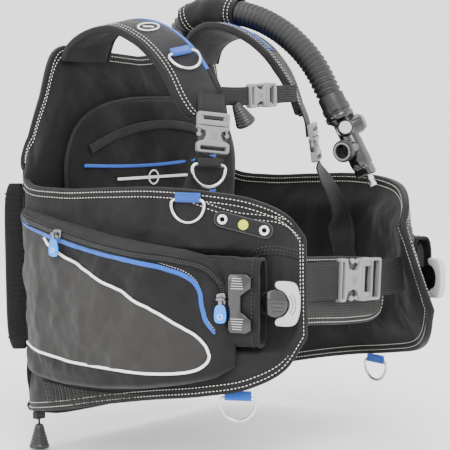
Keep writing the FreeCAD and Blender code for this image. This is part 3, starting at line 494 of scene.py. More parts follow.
def end_tree(tree, geometry, material):
    """Real mesh in one material, shaded smooth."""
    real = add(tree, "GeometryNodeRealizeInstances", {"Geometry": geometry}).outputs[0]
    shaded = add(tree, "GeometryNodeSetShadeSmooth", {"Geometry": real}).outputs[0]
    painted = add(tree, "GeometryNodeSetMaterial", {"Geometry": shaded, "Material": material})
    add(tree, "NodeGroupOutput", {"Geometry": painted.outputs[0]})
    return tree


def repeat_tree(name, shape):
    """Copies of a small block or bead along a path, X on the path and Z on its facing."""
    tree, group = new_tree(name, (
        ("Pitch", "NodeSocketFloat", 0.005), ("Size", "NodeSocketVector", (0.003, 0.001, 0.001)),
        ("Material", "NodeSocketMaterial", None)))
    line = add(tree, "GeometryNodeMeshToCurve", {"Mesh": group["Path"]}).outputs[0]
    spaced = add(tree, "GeometryNodeResampleCurve", {"Curve": line, "Length": group["Pitch"]},
                 mode="LENGTH").outputs[0]
    facing = add(tree, "GeometryNodeInputNamedAttribute", {"Name": "facing"},
                 data_type="FLOAT_VECTOR").outputs[0]
    tangent = add(tree, "GeometryNodeInputTangent").outputs[0]
    along = add(tree, "FunctionNodeAlignRotationToVector", {"Vector": tangent}, axis="X")
    turned_up = add(tree, "FunctionNodeAlignRotationToVector",
                    {"Rotation": along.outputs[0], "Vector": facing}, axis="Z", pivot_axis="X")
    if shape == "bead":
        solid = add(tree, "GeometryNodeMeshUVSphere", {"Segments": 6, "Rings": 4,
                                                       "Radius": 0.5})
    else:
        solid = add(tree, "GeometryNodeMeshCube", {"Size": (1, 1, 1)})
    copies = add(tree, "GeometryNodeInstanceOnPoints",
                 {"Points": spaced, "Instance": solid.outputs["Mesh"],
                  "Rotation": turned_up.outputs[0], "Scale": group["Size"]}).outputs[0]
    return end_tree(tree, copies, group["Material"])


def corrugation_tree():
    """A tube along a path whose radius rises and falls once for every ring."""
    tree, group = new_tree("Corrugated tube", (
        ("Radius", "NodeSocketFloat", 0.018), ("Rise", "NodeSocketFloat", 0.0016),
        ("Pitch", "NodeSocketFloat", 0.008), ("Steps", "NodeSocketInt", 8),
        ("Sides", "NodeSocketInt", 28), ("Material", "NodeSocketMaterial", None)))
    line = add(tree, "GeometryNodeMeshToCurve", {"Mesh": group["Path"]}).outputs[0]
    step = add(tree, "ShaderNodeMath", {0: group["Pitch"], 1: group["Steps"]}, operation="DIVIDE")
    spaced = add(tree, "GeometryNodeResampleCurve", {"Curve": line, "Length": step.outputs[0]},
                 mode="LENGTH").outputs[0]
    travelled = add(tree, "GeometryNodeSplineParameter").outputs["Length"]
    turns = add(tree, "ShaderNodeMath", {0: travelled, 1: group["Pitch"]}, operation="DIVIDE")
    phase = add(tree, "ShaderNodeMath", {0: turns.outputs[0], 1: 2 * math.pi},
                operation="MULTIPLY").outputs[0]
    wave = add(tree, "ShaderNodeMath", {0: phase}, operation="COSINE").outputs[0]
    radius = add(tree, "ShaderNodeMath", {0: wave, 1: group["Rise"], 2: group["Radius"]},
                 operation="MULTIPLY_ADD").outputs[0]
    ring = add(tree, "GeometryNodeCurvePrimitiveCircle", {"Resolution": group["Sides"],
                                                          "Radius": 1.0}).outputs[0]
    tube = add(tree, "GeometryNodeCurveToMesh", {"Curve": spaced, "Profile Curve": ring,
                                                 "Scale": radius, "Fill Caps": True})
    return end_tree(tree, tube.outputs[0], group["Material"])


def grow(name, tree, lines, inputs, body="root", replaces=()):
    """Runs a tree on (points, facing) lines in millimetres and keeps the plain mesh."""
    verts, edges, faces_up = [], [], []
    for points, facing in lines:
        start = len(verts)
        verts += (np.asarray(points) * MM).tolist()
        faces_up += np.broadcast_to(facing, np.shape(points)).tolist()
        edges += [(start + k, start + k + 1) for k in range(len(points) - 1)]
    paths = bpy.data.meshes.new(name + "_paths")
    paths.from_pydata(verts, edges, [])
    attribute = paths.attributes.new("facing", "FLOAT_VECTOR", "POINT")
    attribute.data.foreach_set("vector", [v for row in faces_up for v in row])
    holder = bpy.data.objects.new(name + "_paths", paths)
    bpy.context.scene.collection.objects.link(holder)
    modifier = holder.modifiers.new("grow", "NODES")
    sockets = {item.name: item.identifier for item in tree.interface.items_tree
               if item.in_out == "INPUT"}
    modifier.node_group = tree
    for key, value in inputs.items():
        modifier[sockets[key]] = value
    ready = holder.evaluated_get(bpy.context.evaluated_depsgraph_get())
    mesh = bpy.data.meshes.new_from_object(ready)
    bpy.data.objects.remove(holder)
    mesh.name = name
    if not mesh.vertices:
        raise RuntimeError(f"{name} came out empty")
    made = bpy.data.objects.new(name, mesh)
    bpy.context.scene.collection.objects.link(made)
    return settle(made, body, replaces)


def sizes():
    return bpy.context.scene.vest_sizes


def colours():
    return bpy.context.scene.vest_colours


def sew(name, lines, body="root", material="sewing_thread", scale=1.0):
    """Rows of stitches along (points, facing) lines."""
    s = sizes()
    size = (s.stitch * scale, s.thread * 2 * scale, s.thread * 1.3 * scale)
    return grow(name, TREES["stitches"], lines,
                {"Pitch": s.stitch_pitch * scale, "Size": size, "Material": MATERIALS[material]},
                body)


MATERIALS, TREES = {}, {}


# ------------------------------------------------------------------ finishes
def shader(name, colour, roughness=0.5, metallic=0.0, sheen=0.0, coat=0.0, specular=0.5):
    """A material with its principled shader; returns the tree and the shader."""
    made = bpy.data.materials.new(name)
    made.use_nodes = True
    tree = made.node_tree
    principled = tree.nodes["Principled BSDF"]
    base = (*colour, 1.0)
    for key, value in (("Base Color", base), ("Roughness", roughness), ("Metallic", metallic),
                       ("Sheen Weight", sheen), ("Coat Weight", coat)):
        principled.inputs[key].default_value = value
    if not metallic:
        principled.inputs["Specular IOR Level"].default_value = specular
    made.diffuse_color = base
    MATERIALS[name] = made
    return tree, principled


def tone(tree, principled, colour, spread, scale, vector):
    """Lets the colour drift lighter and darker in soft patches."""
    patches = add(tree, "ShaderNodeTexNoise", {"Vector": vector, "Scale": scale,
                                               "Detail": 3.0}).outputs["Fac"]
    dark = tuple(c * (1 - spread) for c in colour) + (1,)
    light = tuple(min(c * (1 + spread) + 0.004, 1) for c in colour) + (1,)
    mixed = add(tree, "ShaderNodeMix", {0: patches, 6: dark, 7: light}, data_type="RGBA")
    tree.links.new(mixed.outputs[2], principled.inputs["Base Color"])


def rough(tree, principled, low, high, scale, vector):
    patches = add(tree, "ShaderNodeTexNoise", {"Vector": vector, "Scale": scale, "Detail": 4.0})
    ranged = add(tree, "ShaderNodeMapRange", {"Value": patches.outputs["Fac"], "From Min": 0.3,
                                              "From Max": 0.7, "To Min": low, "To Max": high})
    tree.links.new(ranged.outputs[0], principled.inputs["Roughness"])


def emboss(tree, principled, height, distance, before=None):
    """A bump from the height, in metres, on top of an earlier bump."""
    inputs = {"Height": height, "Distance": distance, "Strength": 1.0}
    if before is not None:
        inputs["Normal"] = before
    normal = add(tree, "ShaderNodeBump", inputs).outputs[0]
    tree.links.new(normal, principled.inputs["Normal"])
    return normal


def threads(tree, vector, warp, weft):
    """The height of crossing threads, warp and weft apart, in metres."""
    waves = [add(tree, "ShaderNodeTexWave", {"Vector": vector, "Scale": 0.31416 / gap,
                                             "Distortion": 0.6, "Detail": 1.0,
                                             "Detail Scale": 2.0},
                 bands_direction=way).outputs["Fac"]
             for gap, way in ((warp, "X"), (weft, "Y"))]
    return add(tree, "ShaderNodeMath", {0: waves[0], 1: waves[1]}, operation="MULTIPLY").outputs[0]


def woven(name, colour, thread=1.9, depth=0.25, sheen=0.25, roughness=(0.55, 0.75), spread=0.2,
          weft=None, crease=1.2):
    """Woven cloth: crossing threads on the piece's own UV, soft creases over them."""
    tree, principled = shader(name, colour, roughness[0], sheen=sheen, specular=0.22)
    principled.inputs["Sheen Roughness"].default_value = 0.45
    coordinates = add(tree, "ShaderNodeTexCoord").outputs
    tone(tree, principled, colour, spread, 14.0, coordinates["Object"])
    rough(tree, principled, *roughness, 30.0, coordinates["Object"])
    folds = add(tree, "ShaderNodeTexNoise", {"Vector": coordinates["Object"], "Scale": 38.0,
                                             "Detail": 3.0, "Distortion": 0.5}).outputs["Fac"]
    soft = emboss(tree, principled, folds, crease * MM)
    weave = threads(tree, coordinates["UV"], thread * MM, (weft or thread) * MM)
    emboss(tree, principled, weave, depth * MM, soft)


def moulded(name, colour, roughness=(0.35, 0.5), grain=0.12, coat=0.0, spread=0.06):
    """Moulded plastic or rubber: a fine spark-eroded grain, slightly uneven gloss."""
    tree, principled = shader(name, colour, roughness[0], coat=coat)
    place = add(tree, "ShaderNodeTexCoord").outputs["Object"]
    tone(tree, principled, colour, spread, 25.0, place)
    rough(tree, principled, *roughness, 60.0, place)
    speckle = add(tree, "ShaderNodeTexNoise", {"Vector": place, "Scale": 900.0,
                                               "Detail": 2.0}).outputs["Fac"]
    emboss(tree, principled, speckle, grain * MM)


def brushed(name, colour, roughness):
    """Metal with fine drawn lines."""
    tree, principled = shader(name, colour, roughness[0], metallic=1.0)
    place = add(tree, "ShaderNodeTexCoord").outputs["Object"]
    drawn = add(tree, "ShaderNodeMapping", {"Vector": place, "Scale": (40.0, 400.0, 400.0)})
    rough(tree, principled, *roughness, 4.0, drawn.outputs[0])
    lines = add(tree, "ShaderNodeTexNoise", {"Vector": drawn.outputs[0], "Scale": 3.0,
                                             "Detail": 3.0}).outputs["Fac"]
    emboss(tree, principled, lines, 0.03 * MM)


def make_materials():
    c = colours()
    # Coated 1000D nylon: dull, with a low sheen along folds. Its 0.7 mm threads are drawn
    # 1.9 mm apart so that they show.
    woven("coated_nylon", c.shell, 1.9, 0.25, 0.08)
    # Plain-woven polyester: warmer and paler than the nylon, even in tone, lightly creased.
    woven("panel_polyester", c.panel, 1.7, 0.22, 0.08, spread=0.08, crease=0.6)
    # Brushed lining: darker and duller than the outside.
    woven("brushed_lining", c.lining, 1.6, 0.2, 0.12, (0.75, 0.95))
    # Polyester face cloth: a finer weave than the shell's, with smaller folds.
    woven("strap_polyester", c.strap, 1.5, 0.3, 0.08, spread=0.1, crease=0.7)
    # Belt webbing: ribs run across it, drawn 2.2 mm apart.
    woven("belt_webbing", linear("#121214"), 2.2, 0.4, 0.1, (0.5, 0.65), 0.1, weft=3.4, crease=0.3)
    # Folded binding tape: close cross ribs, a shade darker than the cloth they frame.
    woven("binding_tape", linear("#0a0a0b"), 1.2, 0.35, 0.08, (0.5, 0.7), 0.1, weft=2.6, crease=0.3)
    # Spacer mesh: open cells, drawn 3.2 mm apart.
    woven("spacer_mesh", linear("#272625"), 3.2, 0.9, 0.1, (0.7, 0.9), 0.12, crease=0.2)
    # Dyed polyester tape: saturated blue with a soft sheen on its ribs.
    woven("blue_tape", c.blue, 1.3, 0.3, 0.3, (0.45, 0.6), 0.12, weft=2.4, crease=0.3)
    # Zip tape: a flat, dull weave that lets the coil stand out.
    woven("zip_coil_tape", linear("#161618"), 1.4, 0.3, 0.1, (0.5, 0.7), 0.1, crease=0.2)
    # Braided nylon cord: a fine, nearly even black.
    woven("braided_cord", linear("#141414"), 1.0, 0.3, 0.1, (0.5, 0.7), 0.1, crease=0.1)
    # Piping cord under a smooth vinyl skin.
    moulded("vinyl_piping", c.piping, (0.3, 0.42), 0.05)
    # Bonded polyester thread: pale where it decorates, near black where it only holds.
    moulded("sewing_thread", c.thread, (0.5, 0.65), 0.05)
    moulded("dark_thread", linear("#2c2c2e"), (0.5, 0.65), 0.05)
    # Glass-filled nylon buckles: pale, satin, with a fine grain.
    moulded("pale_nylon", c.pale_plastic, (0.32, 0.42), 0.06)
    # Light grey grip plastic: satin, paler than the buckles.
    moulded("grip_plastic", linear("#b4b8b7"), (0.3, 0.4), 0.05)
    # Raised rubber print: off-white, with little gloss.
    moulded("mark_paint", linear("#d8dada"), (0.4, 0.5), 0.03)
    # Moulded black nylon: satin, with a grain that breaks its highlights.
    moulded("dark_nylon", c.dark_plastic, (0.3, 0.42), 0.08)
    # Polished black plastic: sharp highlights under a clear coat.
    moulded("gloss_plastic", linear("#0d0e10"), (0.12, 0.2), 0.02, coat=0.6)
    # Moulded rubber hose: black, between satin and dull, slightly bloomed.
    moulded("hose_rubber", linear("#101113"), (0.34, 0.5), 0.1, spread=0.25)
    # Soft blue rubber of the zip pulls: brighter than the tape, satin.
    moulded("blue_rubber", linear("#1f7fe6"), (0.4, 0.5), 0.06)
    # Yellow marker plastic: satin, the one bright warm spot.
    moulded("marker_yellow", linear("#c3cc1c"), (0.35, 0.45), 0.04)
    # Drawn stainless wire: bright, with streaks along the drawing.
    brushed("stainless_steel", (0.66, 0.66, 0.67), (0.18, 0.3))
    # Dark plated zinc of the sliders: duller and darker than the rings.
    brushed("gunmetal", (0.22, 0.22, 0.24), (0.25, 0.38))


def make_trees():
    TREES["stitches"] = repeat_tree("Stitch row", "bead")
    TREES["teeth"] = repeat_tree("Bar row", "block")
    TREES["hose"] = corrugation_tree()


# ------------------------------------------------------------------ operators
class VestOperator:
    bl_options = {"REGISTER", "UNDO"}

    def execute(self, context):
        self.build()
        return {"FINISHED"}


class VEST_OT_walls(VestOperator, bpy.types.Operator):
    """Build the back panel and the two side lobes with their bound, double-stitched edges"""
    bl_idname = "vest.walls"
    bl_label = "Back Panel and Lobes"

    def build(self):
        lobe_stations = np.linspace(CORNER, len(WALL) - 1, 130)
        for word, side in SIDES.items():
            self.wall(f"{word}_lobe_cloth", lobe_stations, np.full(130, side), f"{word}_lobe")
            self.edge(word, side)
        across = np.linspace(-CORNER, CORNER, 170)
        self.wall("back_panel_cloth", abs(across), np.where(across < 0, RIGHT, LEFT), "back_shell")
        self.back_edges()

    def wall(self, name, stations, sides, node):
        rows = []
        for w, side in zip(stations, sides):
            top, bottom = wall_edges(w)
            share = np.linspace(0, 1, 76)
            down = top[2] - (top[2] - bottom[2]) * (share + 0.25 * share * (1 - share)
                                                    * (1 - 2 * share))
            outer = outer_face(w, down, side)
            inner = inner_face(w, down[::-1], side)
            rows.append(np.concatenate([outer, inner]))
        mesh = skin_mesh(np.array(rows))
        piece = Piece(name).add(mesh, "coated_nylon")
        self.line_inside(piece, "brushed_lining", len(rows[0]))
        made = piece.finish("root", "black_nylon", [node], sharp=60)

    def line_inside(self, piece, lining, count):
        """The half of the faces that lies on the inner side gets the lining."""
        piece.materials.append(lining)
        half = count // 2
        for number, face in enumerate(piece.shape.faces):
            if len(face.verts) == 4 and number % count >= half - 1:
                face.material_index = 1

    def edge_line(self, inset):
        """Stations and heights just inside a lobe's bound edge, from corner to corner."""
        last = len(WALL) - 1
        end = last - inset / 45
        over = np.linspace(CORNER, end, 120)
        top, bottom = wall_edges(over)
        down = np.linspace(top[-1, 2] - inset, bottom[-1, 2] + inset, 24)[1:-1]
        return (np.concatenate([over, np.full(22, end), over[::-1]]),
                np.concatenate([top[:, 2] - inset, down, bottom[::-1, 2] + inset]))

    def edge(self, word, side):
        half = sizes().binding / MM / 2
        w, z = self.edge_line(half - 2.5)
        outer, inner = outer_face(w, z, side), inner_face(w, z, side)
        middle = even((outer + inner) / 2, 260)
        inwards = even(unit(inner - outer), 260)
        rings = ribbon_rings(middle, unit(inwards), half, sizes().edge / MM / 2 + 1.0, 5.0, 14)
        Piece(f"{word}_lobe_binding").add(skin_mesh(rings), "binding_tape").finish(
            "root", "black_nylon", sharp=60)
        rows = []
        for inset in (3.2, 10.2):
            w, z = self.edge_line(inset)
            for face, sign in ((outer_face, -1), (inner_face, 1)):
                points = face(w, z, side, 1.4)
                rows.append((even(points, 400), even(side_of(wall_in(w), side) * sign, 400)))
        sew(f"{word}_lobe_edge_stitches", rows)

    def back_edges(self):
        """Binding and stitches along the back panel's top, armhole and bottom edges."""
        piece, rows = Piece("back_panel_binding"), []
        across = np.linspace(-CORNER + 0.05, CORNER - 0.05, 260)
        w, sides = abs(across), np.where(across < 0, RIGHT, LEFT)[:, None]
        top, bottom = wall_edges(w)
        half = sizes().binding / MM / 2
        for edge, sign in ((top[:, 2], -1), (bottom[:, 2], 1)):
            for inset, keep in ((half - 2.5, "band"), (3.2, "row"), (10.2, "row")):
                z = edge + sign * inset
                outer = wall_point(w, z, LEFT, swell(w, z, LEFT)) * np.hstack(
                    [sides, np.ones((260, 2))])
                inner = inner_face(w, z, LEFT) * np.hstack([sides, np.ones((260, 2))])
                inwards = unit(inner - outer)
                if keep == "band":
                    rings = ribbon_rings((outer + inner) / 2, inwards, half,
                                         sizes().edge / MM / 2 + 1.0, 5.0, 14)
                    piece.add(skin_mesh(rings), "binding_tape")
                else:
                    rows += [(outer - inwards * 1.4, -inwards), (inner + inwards * 1.4, inwards)]
        piece.finish("root", "black_nylon", sharp=60)
        sew("back_panel_edge_stitches", rows)


class VEST_OT_side_wings(VestOperator, bpy.types.Operator):
    """Build the ribbed elastic strips that stand behind the corners of the back"""
    bl_idname = "vest.side_wings"
    bl_label = "Side Wings"
    TOP, BOTTOM = 66, -168

    def spot(self, height, side):
        lean = 6 * (height - self.TOP) / 300
        return np.array((210 + lean, -74 - 0.3 * lean, height)) * (side, 1, 1)

    def build(self):
        for word, side in SIDES.items():
            z = np.linspace(self.TOP, self.BOTTOM, 90)
            middle, half = (self.TOP + self.BOTTOM) / 2, (self.TOP - self.BOTTOM) / 2
            ends = np.sqrt(np.clip(1 - (abs(z - middle) / (half + 3)) ** 6, 0, 1))
            line = np.array([self.spot(height, side) for height in z])
            out = np.broadcast_to(unit((0.72 * side, 0.69, 0.0)), line.shape)
            flat = np.broadcast_to(unit((0.69 * side, -0.72, 0.0)), line.shape)
            rings = rings_round(line, out, flat, 4 + 13 * ends, 5.0, 3.5, 30)
            made = Piece(f"{word}_side_wing").add(skin_mesh(rings), "binding_tape").finish(
                "root", "black_nylon", sharp=60)
            ribs = []
            for height in np.arange(self.TOP - 14, self.BOTTOM + 10, -7.0):
                reach = np.linspace(-12, 14, 10)[:, None]
                ribs.append((self.spot(height, side) + out[0] * reach + flat[0] * 5.2, flat[0]))
            grow(f"{word}_side_wing_ribs", TREES["teeth"], ribs,
                 {"Pitch": 0.003, "Size": (0.0032, 0.002, 0.0016),
                  "Material": MATERIALS["belt_webbing"]})


class VEST_OT_lobe_seams(VestOperator, bpy.types.Operator):
    """Build the seams, the vent panels and the stitched borders on the lobes' outer faces"""
    bl_idname = "vest.lobe_seams"
    bl_label = "Lobe Seams"
    # (station, height) points of the shoulder yoke's seam and the weight recess's border
    YOKE = [(4.85, 60), (5.3, 50), (5.7, 43), (6.2, 40), (6.8, 36), (7.45, 24), (7.9, 12)]
    BORDER = [(5.86, -118), (5.76, -90), (5.74, -55), (5.8, -22), (6.05, -5), (6.5, 1), (7.1, -2),
              (7.8, -8)]
    VENT_TOP = [(1.5, -201), (2.3, -203), (3.1, -201), (3.9, -195)]
    VENT_BOTTOM = [(1.6, -232), (2.3, -226), (3.1, -214), (3.9, -197)]
    REAR = [(0.42, 66), (0.36, 0), (0.34, -80), (0.36, -160), (0.42, -236)]

    def build(self):
        for word, side in SIDES.items():
            rows = []
            for line, gaps in ((self.YOKE, (0, 6.5)), (self.BORDER, (0, 4.5)), (self.REAR, (0,))):
                for gap in gaps:
                    u, z = trail(line, 140).T
                    shift = gap if line is not self.REAR else 0
                    rows.append((outer_face(u + CORNER, z - shift, side, 0.5),
                                 side_of(-wall_in(u + CORNER), side)))
            sew(f"{word}_yoke_stitches", rows[:2])
            sew(f"{word}_border_stitches", rows[2:], material="dark_thread")
            cord = Piece(f"{word}_border_piping")
            u, z = trail(self.BORDER, 120).T
            cord.add(skin_mesh(tube_rings(outer_face(u + CORNER, z - 9, side, 0.4), 1.5, 10)),
                     "binding_tape")
            cord.finish("root", "black_nylon", sharp=80)
            self.vent(word, side)

    def vent(self, word, side):
        top, bottom = trail(self.VENT_TOP, 60), trail(self.VENT_BOTTOM, 60)
        rows = []
        for share in np.linspace(0, 1, 14):
            u, z = (top + (bottom - top) * share).T
            rows.append(np.stack([outer_face(u + CORNER, z, side, 1.6),
                                  outer_face(u + CORNER, z, side, -1.5)]))
        rows = np.array(rows)
        rings = np.concatenate([rows[:, 0].transpose(1, 0, 2),
                                rows[::-1, 1].transpose(1, 0, 2)], 1)
        Piece(f"{word}_vent_mesh").add(skin_mesh(rings), "spacer_mesh").finish(
            "root", "grey_nylon", sharp=60)
        ribs = []
        for share in np.linspace(0.03, 0.95, 34):
            a, b = top[int(share * 59)], bottom[int(share * 59)]
            u, z = (a + (b - a) * np.linspace(0.05, 0.95, 6)[:, None]).T
            ribs.append((outer_face(u + CORNER, z, side, 1.7), side_of(-wall_in(u + CORNER), side)))
        grow(f"{word}_vent_ribs", TREES["teeth"], ribs,
             {"Pitch": 0.003, "Size": (0.0034, 0.0013, 0.0012),
              "Material": MATERIALS["spacer_mesh"]})


class VEST_OT_pockets(VestOperator, bpy.types.Operator):
    """Build the cargo pockets with their grey panels, piping, trims and zips"""
    bl_idname = "vest.pockets"
    bl_label = "Cargo Pockets"
    # (station, height) points of the grey panel's upper and lower outline
    PANEL_TOP = [(0.96, 27), (1.5, 23), (1.88, 16), (1.93, 4), (2.12, -8), (2.5, -21), (3.2, -42),
                 (3.85, -62), (4.45, -83), (4.95, -104), (5.2, -120), (5.27, -134)]
    PANEL_BOTTOM = [(0.97, -150), (1.4, -153), (1.9, -156), (2.6, -160), (3.2, -161), (3.8, -161),
                    (4.3, -160), (4.65, -158), (4.95, -154), (5.12, -149), (5.23, -142),
                    (5.27, -134)]
    TRIM = [(1.0, 24), (1.6, 11), (2.3, 0), (3.2, -12), (4.0, -20), (4.55, -27), (4.92, -38),
            (5.08, -54), (5.14, -72), (5.22, -90), (5.36, -106)]

    def build(self):
        for word, side in SIDES.items():
            self.bag(word, side)
            self.grey_panel(word, side)
            self.trims(word, side)
            self.zip(word, side)

    def bag(self, word, side):
        rings = []
        for u in np.linspace(POCKET[0, 0], POCKET[-1, 0], 150):
            top, bottom, _ = pocket_row(u)
            share = np.linspace(0, 1, 90)
            z = top - (top - bottom) * (share - 0.11 * np.sin(2 * np.pi * share))
            face = pocket_face(u, z, side)
            back = lobe_point(u, z[::-15], side, -5.0)
            rings.append(np.concatenate([face, back]))
        made = Piece(f"{word}_pocket_cloth").add(skin_mesh(np.array(rings)), "coated_nylon").finish(
            "root", "black_nylon", [f"{word}_cargo_pocket"], sharp=70)

    def grey_panel(self, word, side):
        top, bottom = trail(self.PANEL_TOP, 110), trail(self.PANEL_BOTTOM, 110)
        top[-1] = bottom[-1] = (top[-1] + bottom[-1]) / 2
        rows = []
        for share in np.linspace(0, 1, 44):
            u, z = (top + (bottom - top) * share * 0.999).T
            rows.append((pocket_face(u, z, side, 0.9), pocket_face(u, z, side, -2.0)))
        rings = np.concatenate([np.array([r[0] for r in rows]).transpose(1, 0, 2),
                                np.array([r[1] for r in rows[::-1]]).transpose(1, 0, 2)], 1)
        Piece(f"{word}_grey_panel").add(skin_mesh(rings), "panel_polyester").finish(
            "root", "grey_nylon", sharp=60)

        start = 26
        outline = np.concatenate([top[start:], bottom[-2:2:-1]])
        piping = even(outline, 260)
        u, z = piping.T
        points = pocket_face(u, z, side, 1.5)
        Piece(f"{word}_panel_piping").add(skin_mesh(tube_rings(points, 1.9, 12)),
                                         "vinyl_piping").finish("root", sharp=80)

    def trims(self, word, side):
        u, z = trail(self.TRIM, 160).T
        out = side_of(-wall_in(u + CORNER), side)
        width = np.interp(np.arange(160), (0, 40, 150, 159), (4.4, 3.2, 2.9, 1.5))
        rings = ribbon_rings(pocket_face(u, z, side, 0.8), out, width, 1.3, 3.0, 12)
        Piece(f"{word}_pocket_trim").add(skin_mesh(rings), "blue_tape").finish(
            "root", "blue_webbing", sharp=70)
        rows = [(pocket_face(u, z + 5.2, side, 0.3), out)]
        sew(f"{word}_trim_stitches", rows, scale=0.75)

    def zip(self, word, side):
        """Tape and coil: the coil stands on the tape in two rows of teeth."""
        u, z = trail([(1.12, 26)] + ZIP + [(5.53, -82)], 170).T
        out = side_of(-wall_in(u + CORNER), side)
        middle = pocket_face(u, z, side, 1.0)
        tape = Piece(f"{word}_zip_tape")
        tape.add(skin_mesh(ribbon_rings(middle, out, 6.0, 0.9, 4.0, 12)), "zip_coil_tape")
        run = run_of(middle)
        across = unit(np.cross(out, run))
        for gap in (-5.0, 5.0):
            tape.add(skin_mesh(tube_rings(middle + across * gap + out * 0.8, 1.1, 8)),
                     "binding_tape")
        tape.finish("root", "zip_black", ["zip_tapes"] if side == LEFT else (), sharp=70)
        coil = [(middle + across * gap + out * 1.4, out) for gap in (-1.35, 1.35)]
        grow(f"{word}_zip_coil", TREES["teeth"], coil,
             {"Pitch": sizes().tooth_pitch, "Size": (0.0016, 0.0026, 0.0018),
              "Material": MATERIALS["dark_nylon"]})


class VEST_OT_straps(VestOperator, bpy.types.Operator):
    """Build the padded shoulder straps with their bindings, trims and badge"""
    bl_idname = "vest.straps"
    bl_label = "Shoulder Straps"

    def build(self):
        for word, side in SIDES.items():
            at = np.linspace(0, len(STRAP) - 1, 150)
            both = side_of(through(STRAP, at), side)
            neck, arm = both[:, 0], both[:, 1]
            across = unit(arm - neck)
            run = run_of((neck + arm) / 2)
            out = unit(np.cross(run, across)) * side
            end = np.clip((len(STRAP) - 1 - at) / 0.45, 0, 1)
            half = np.linalg.norm(arm - neck, axis=1) / 2 * (0.72 + 0.28 * np.sqrt(
                1 - (1 - end) ** 2))
            middle = (neck + arm) / 2 - out * STRAP_DEPTH / 2
            rings = rings_round(middle, across, out, half, STRAP_DEPTH / 2, 3.4, 40)
            bow = crumple(rings * (side, 1, 1), 42, 2.2, seed=side) - 0.6
            rings = rings + out[:, None] * bow[..., None] * 0.6
            made = Piece(f"{word}_strap_cloth").add(skin_mesh(rings), "strap_polyester").finish(
                "root", "grey_nylon", [f"{word}_shoulder_strap"], sharp=60)
            self.trims(word, side, across, out, half, middle)
            if side == RIGHT:
                self.badge(both, across, out, run)

    def trims(self, word, side, across, out, half, middle):
        edges = Piece(f"{word}_strap_binding")
        for sign in (-1, 1):
            line = middle + across * (half * sign * 0.975)[:, None]
            edges.add(skin_mesh(ribbon_rings(line, out, 3.2, STRAP_DEPTH / 2 * 0.8, 3.0, 12)),
                      "binding_tape")
        edges.finish("root", "black_nylon", sharp=70)
        rows = []
        face = middle + out * (STRAP_DEPTH / 2 + 0.6)
        for sign in (1, -1):
            for inset in (6.5, 12.0):
                if side == RIGHT and sign == -1:
                    continue
                line = face + across * ((half - inset) * sign)[:, None] - out * (
                    1.6 if inset < 8 else 0.6)
                rows.append((line, out))
        sew(f"{word}_strap_stitches", rows)
        trim = Piece(f"{word}_strap_blue")
        if side == RIGHT:
            span = slice(18, 112)
            line = face - across * (half - 3.0)[:, None] - out * 2.6
        else:
            span = slice(52, 92)
            line = face - across * (half - 26.0)[:, None]
        width = 2.6 if side == RIGHT else 9.0
        trim.add(skin_mesh(ribbon_rings(line[span], out[span], width, 1.1, 3.0, 12)), "blue_tape")
        trim.finish("root", "blue_webbing", sharp=70)

    def badge(self, both, across, out, run):
        """A plain oval ring of raised rubber with a bar in it, on the front of the strap."""
        spot = 68
        at = both[spot].mean(0) + out[spot] * 0.9 - across[spot] * 3
        place = pose(at, -run[spot], out[spot])
        ring = [(19 * math.cos(a), 12 * math.sin(a)) for a in np.linspace(0, 2 * np.pi, 48)[:-1]]
        hole = [(x * 0.84, z * 0.78) for x, z in reversed(ring)]
        badge = Piece("right_strap_badge").add(plate([ring, hole], 1.4, 0.4), "mark_paint", place)
        badge.add(plate([oblong(16, 3.4, 1.6)], 1.2, 0.4), "mark_paint",
                  place @ Matrix.Rotation(math.radians(28), 4, "Y"))
        badge.finish("root")


